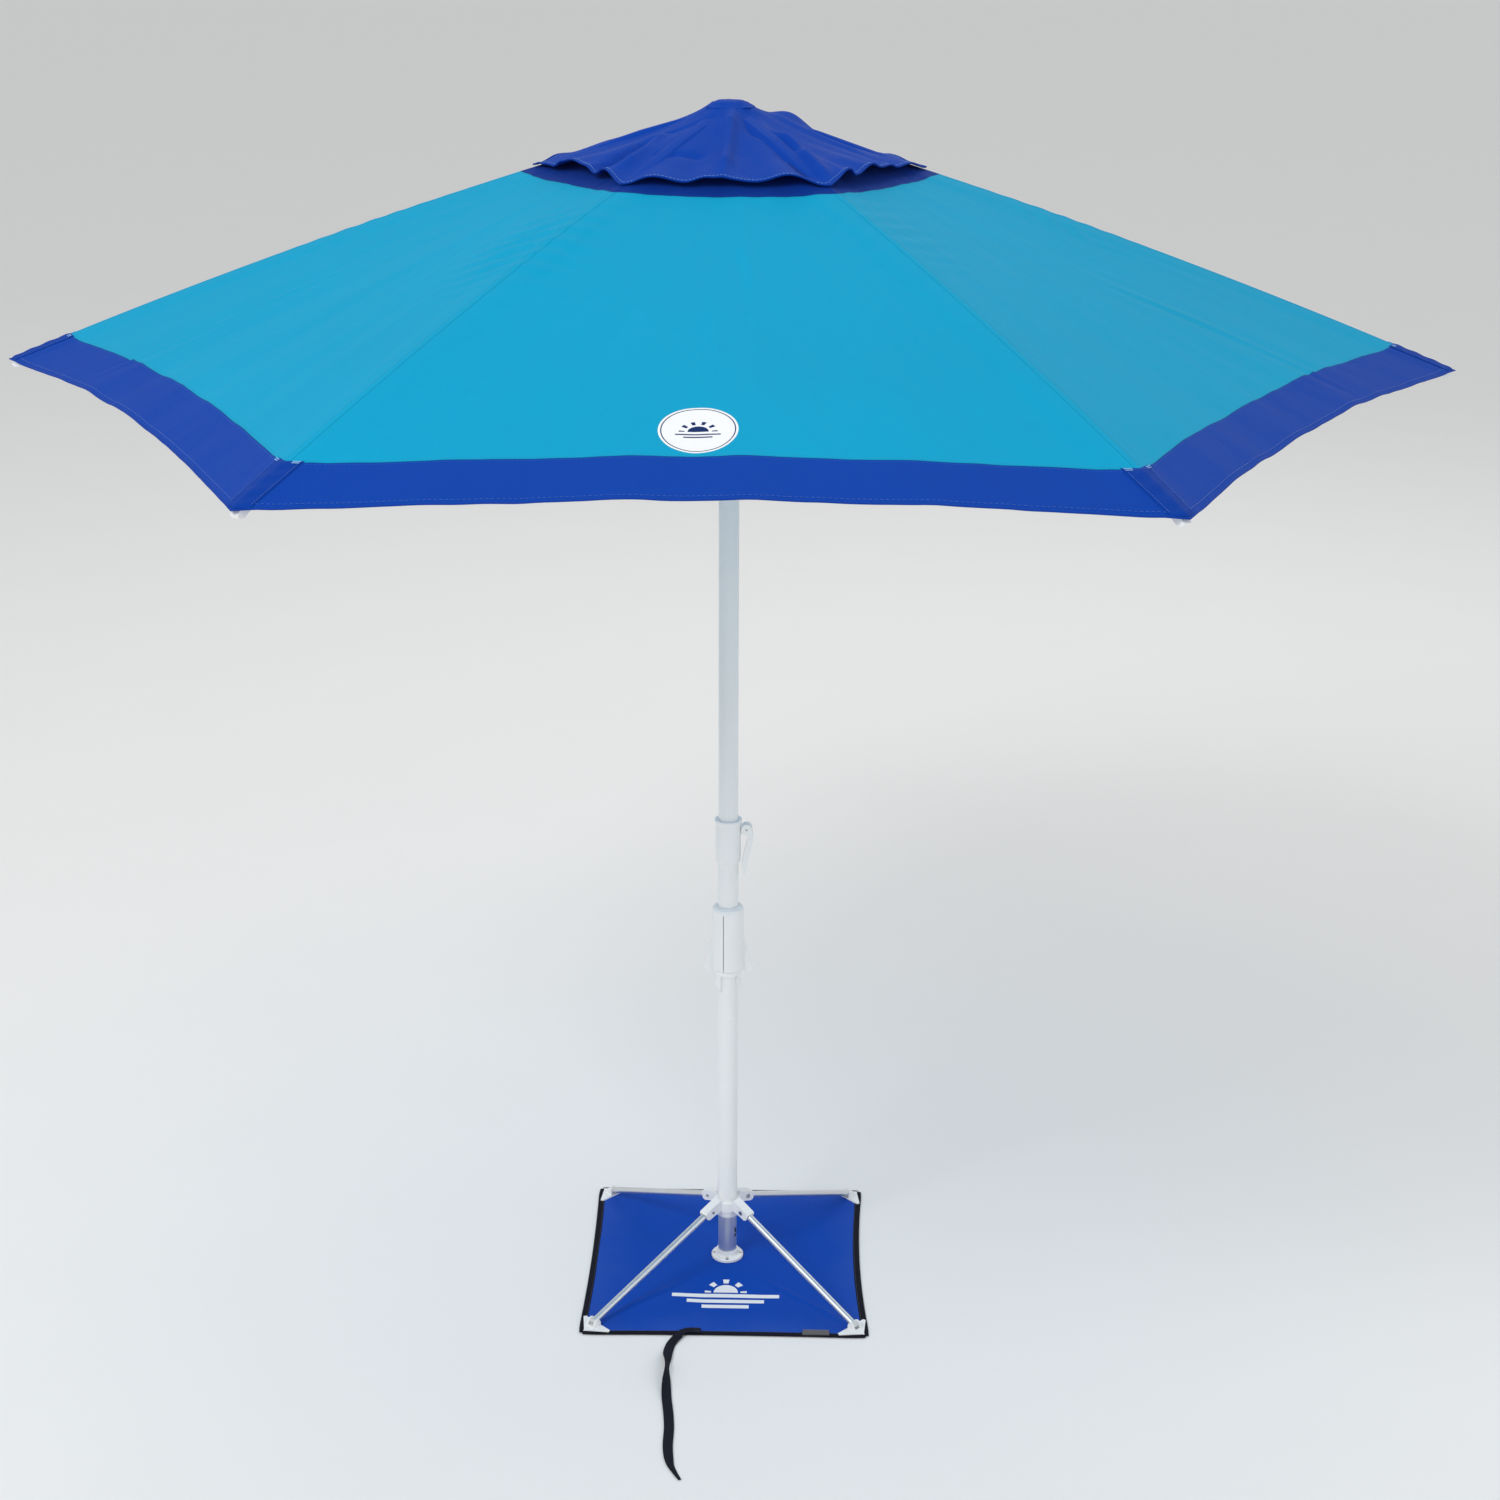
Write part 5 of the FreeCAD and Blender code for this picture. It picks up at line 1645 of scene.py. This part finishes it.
    def edge(self, side: int, inset: float, raised: float, steps: int = 73) -> np.ndarray:
        """Points along one side, a little in from the edge, from corner to corner."""
        line = []
        for n in range(steps):
            t = (n / (steps - 1) * 2 - 1) * (1 - inset / self.half * 0.98)
            s = 1 - inset / self.half
            p, q = {0: (t, -s), 1: (s, t), 2: (-t, s), 3: (-s, -t)}[side]
            x, y = self.lay(p, q)
            line.append((x, y, self.up(x, y) + raised))
        return np.array(line)

    def bind(self, side: int) -> list[bpy.types.Object]:
        """The black tape folded over one side, and its row of stitches."""
        name = f"edge_binding_{side + 1}"
        line = self.edge(side, -0.0005, -0.0001)
        made = piece(name, Tape(self.binding, 0.0026).along(line, Finish.BINDING),
                     Finish.BINDING.material)
        row = self.edge(side, 0.0040, 0.0012)
        sewn = Sewing(0.0060, 0.0042, 0.0011).rows(f"binding_stitches_{side + 1}", [row],
                                                  Finish.DARK_THREAD)
        chart(made)
        for extra in (made, sewn):
            self.fold(side).take(extra, "sheet_cloth")
        return [made, sewn]

    def hooks(self) -> None:
        """The patch of hook tape on the front edge."""
        low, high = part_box("hook_patch")
        points, faces, wide, deep = [], [], 26, 10
        for j in range(deep):
            for i in range(wide):
                s, t = i / (wide - 1), j / (deep - 1)
                x = low.x + (high.x - low.x) * s
                y = low.y + 0.0006 + (high.y - low.y) * t
                rim = max(abs(2 * s - 1) ** 16, abs(2 * t - 1) ** 10)
                points.append((x, y, self.up(x, y) + 0.0016 * (1 - 0.4 * rim) + 0.0012))
        faces = [(j * wide + i, j * wide + i + 1, (j + 1) * wide + i + 1, (j + 1) * wide + i)
                 for j in range(deep - 1) for i in range(wide - 1)]
        net, _ = net_of(Net(np.array(points), faces).mesh("hooks_whole"))
        made = piece("hook_tape", net.thick(0.0016).mesh("hook_tape"), Finish.HOOK.material)
        self.fold(0).take(made, "black_hook")
        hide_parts("hook_patch")


# ---------------------------------------------------------------- strap

@dataclass
class StorageStrap:
    """The flat black strap that lies in front of the ground sheet.

    Attributes:
        route: Its line on the ground: across, and along.
        width: Its width.
        depth: Its thickness.
    """

    route: tuple[tuple[float, float], ...] = (
        (-0.0840, -0.2745), (-0.0960, -0.2930), (-0.1010, -0.3180), (-0.1020, -0.3460),
        (-0.1010, -0.3740), (-0.0990, -0.4000), (-0.0995, -0.4300), (-0.0980, -0.4660),
        (-0.0920, -0.5120), (-0.0880, -0.5600), (-0.0890, -0.6080), (-0.0850, -0.6480),
        (-0.0790, -0.6740), (-0.0630, -0.7050))
    tilts: tuple[float, ...] = (90, 90, 88, 66, 24, 24, 62, 88, 90, 90, 90, 90, 90, 90)
    lifts: tuple[float, ...] = (0.0036, 0.0016, 0.0014, 0.0072, 0.0112, 0.0112, 0.0070, 0.0016,
                                0.0010, 0.0010, 0.0010, 0.0010, 0.0010, 0.0010)
    shares: tuple[float, ...] = (1, 1, 1, 1, 1, 1, 1, 1, 1, 1, 1, 0.92, 0.55, 0.30)
    width: float = 0.018
    depth: float = 0.0016

    def build(self) -> None:
        """Makes the strap along its line."""
        data = bpy.data.curves.new("carry_strap", "CURVE")
        data.dimensions, data.twist_mode = "3D", "Z_UP"
        data.resolution_u, data.bevel_depth = 24, self.depth / 2
        data.extrude, data.bevel_resolution = self.width / 2 - self.depth / 2, 2
        data.use_fill_caps = True
        line = data.splines.new("NURBS")
        line.points.add(len(self.route) - 1)
        for n, dot in enumerate(line.points):
            dot.co = (*self.route[n], self.lifts[n], 1.0)
            dot.tilt = math.radians(self.tilts[n])
            dot.radius = self.shares[n]
        line.order_u, line.use_endpoint_u = 3, True
        made = bpy.data.objects.new("carry_strap", data)
        bpy.context.scene.collection.objects.link(made)
        data.materials.append(Finish.STRAP.material)
        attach(made, "panel_1")
        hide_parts("storage_strap")
        log.info("carry_strap: %d points", len(self.route))
        self.root()

    def root(self) -> None:
        """The strap's end, which is turned along the sheet's edge and sewn down."""
        path = np.array([(-0.0440, -0.2590, 0.0046), (-0.0560, -0.2580, 0.0048),
                         (-0.0680, -0.2590, 0.0049), (-0.0770, -0.2640, 0.0048),
                         (-0.0830, -0.2710, 0.0044), (-0.0885, -0.2800, 0.0034)])
        mesh = Tape(self.width * 0.94, 0.0018).along(path, Finish.STRAP)
        rows = []
        for way in (-1, 1):
            rows.append(np.array([(-0.046, -0.2588 + way * 0.0062, 0.0056),
                                  (-0.057, -0.2578 + way * 0.0062, 0.0058)]))
        rows.append(np.array([(-0.046, -0.2650, 0.0056), (-0.057, -0.2516, 0.0058)]))
        made = piece("strap_root", mesh, Finish.STRAP.material)
        sewn = Sewing(0.0034, 0.0026, 0.0009).rows("strap_root_stitches", rows, Finish.DARK_THREAD)
        for extra in (made, sewn):
            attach(extra, "panel_1")


# ---------------------------------------------------------------- frame

class Frame:
    """The poles, the fittings, the ribs and the legs, as the frame gives them."""

    def dress(self) -> None:
        """Gives every part its finish."""
        slots = {"white_tube": Finish.TUBE, "white_plastic": Finish.PLASTIC, "steel": Finish.STEEL,
                 "aluminium": Finish.ALUMINIUM, "rib_rod": Finish.ROD,
                 "canopy_cloth": Finish.CANOPY, "sheet_cloth": Finish.GROUND,
                 "black_webbing": Finish.STRAP, "black_hook": Finish.HOOK}
        for name, part in frame["nodes"].items():
            for holder in part.material_slots:
                label = holder.material.name.split(".")[0] if holder.material else "white_tube"
                if label in slots:
                    holder.material = slots[label].material
            log.info("%s: dressed", name)


def main() -> None:
    """Builds the umbrella and its studio."""
    logging.basicConfig(level=logging.INFO, format="%(name)s: %(message)s")
    studio = Studio()
    studio.camera()
    StorageStrap().build()
    canopy = Canopy()
    canopy.build()
    canopy.sew()
    VentCap().build(canopy)
    GroundSheet().build()
    Frame().dress()
    studio.surroundings()


if __name__ == "__main__":
    main()
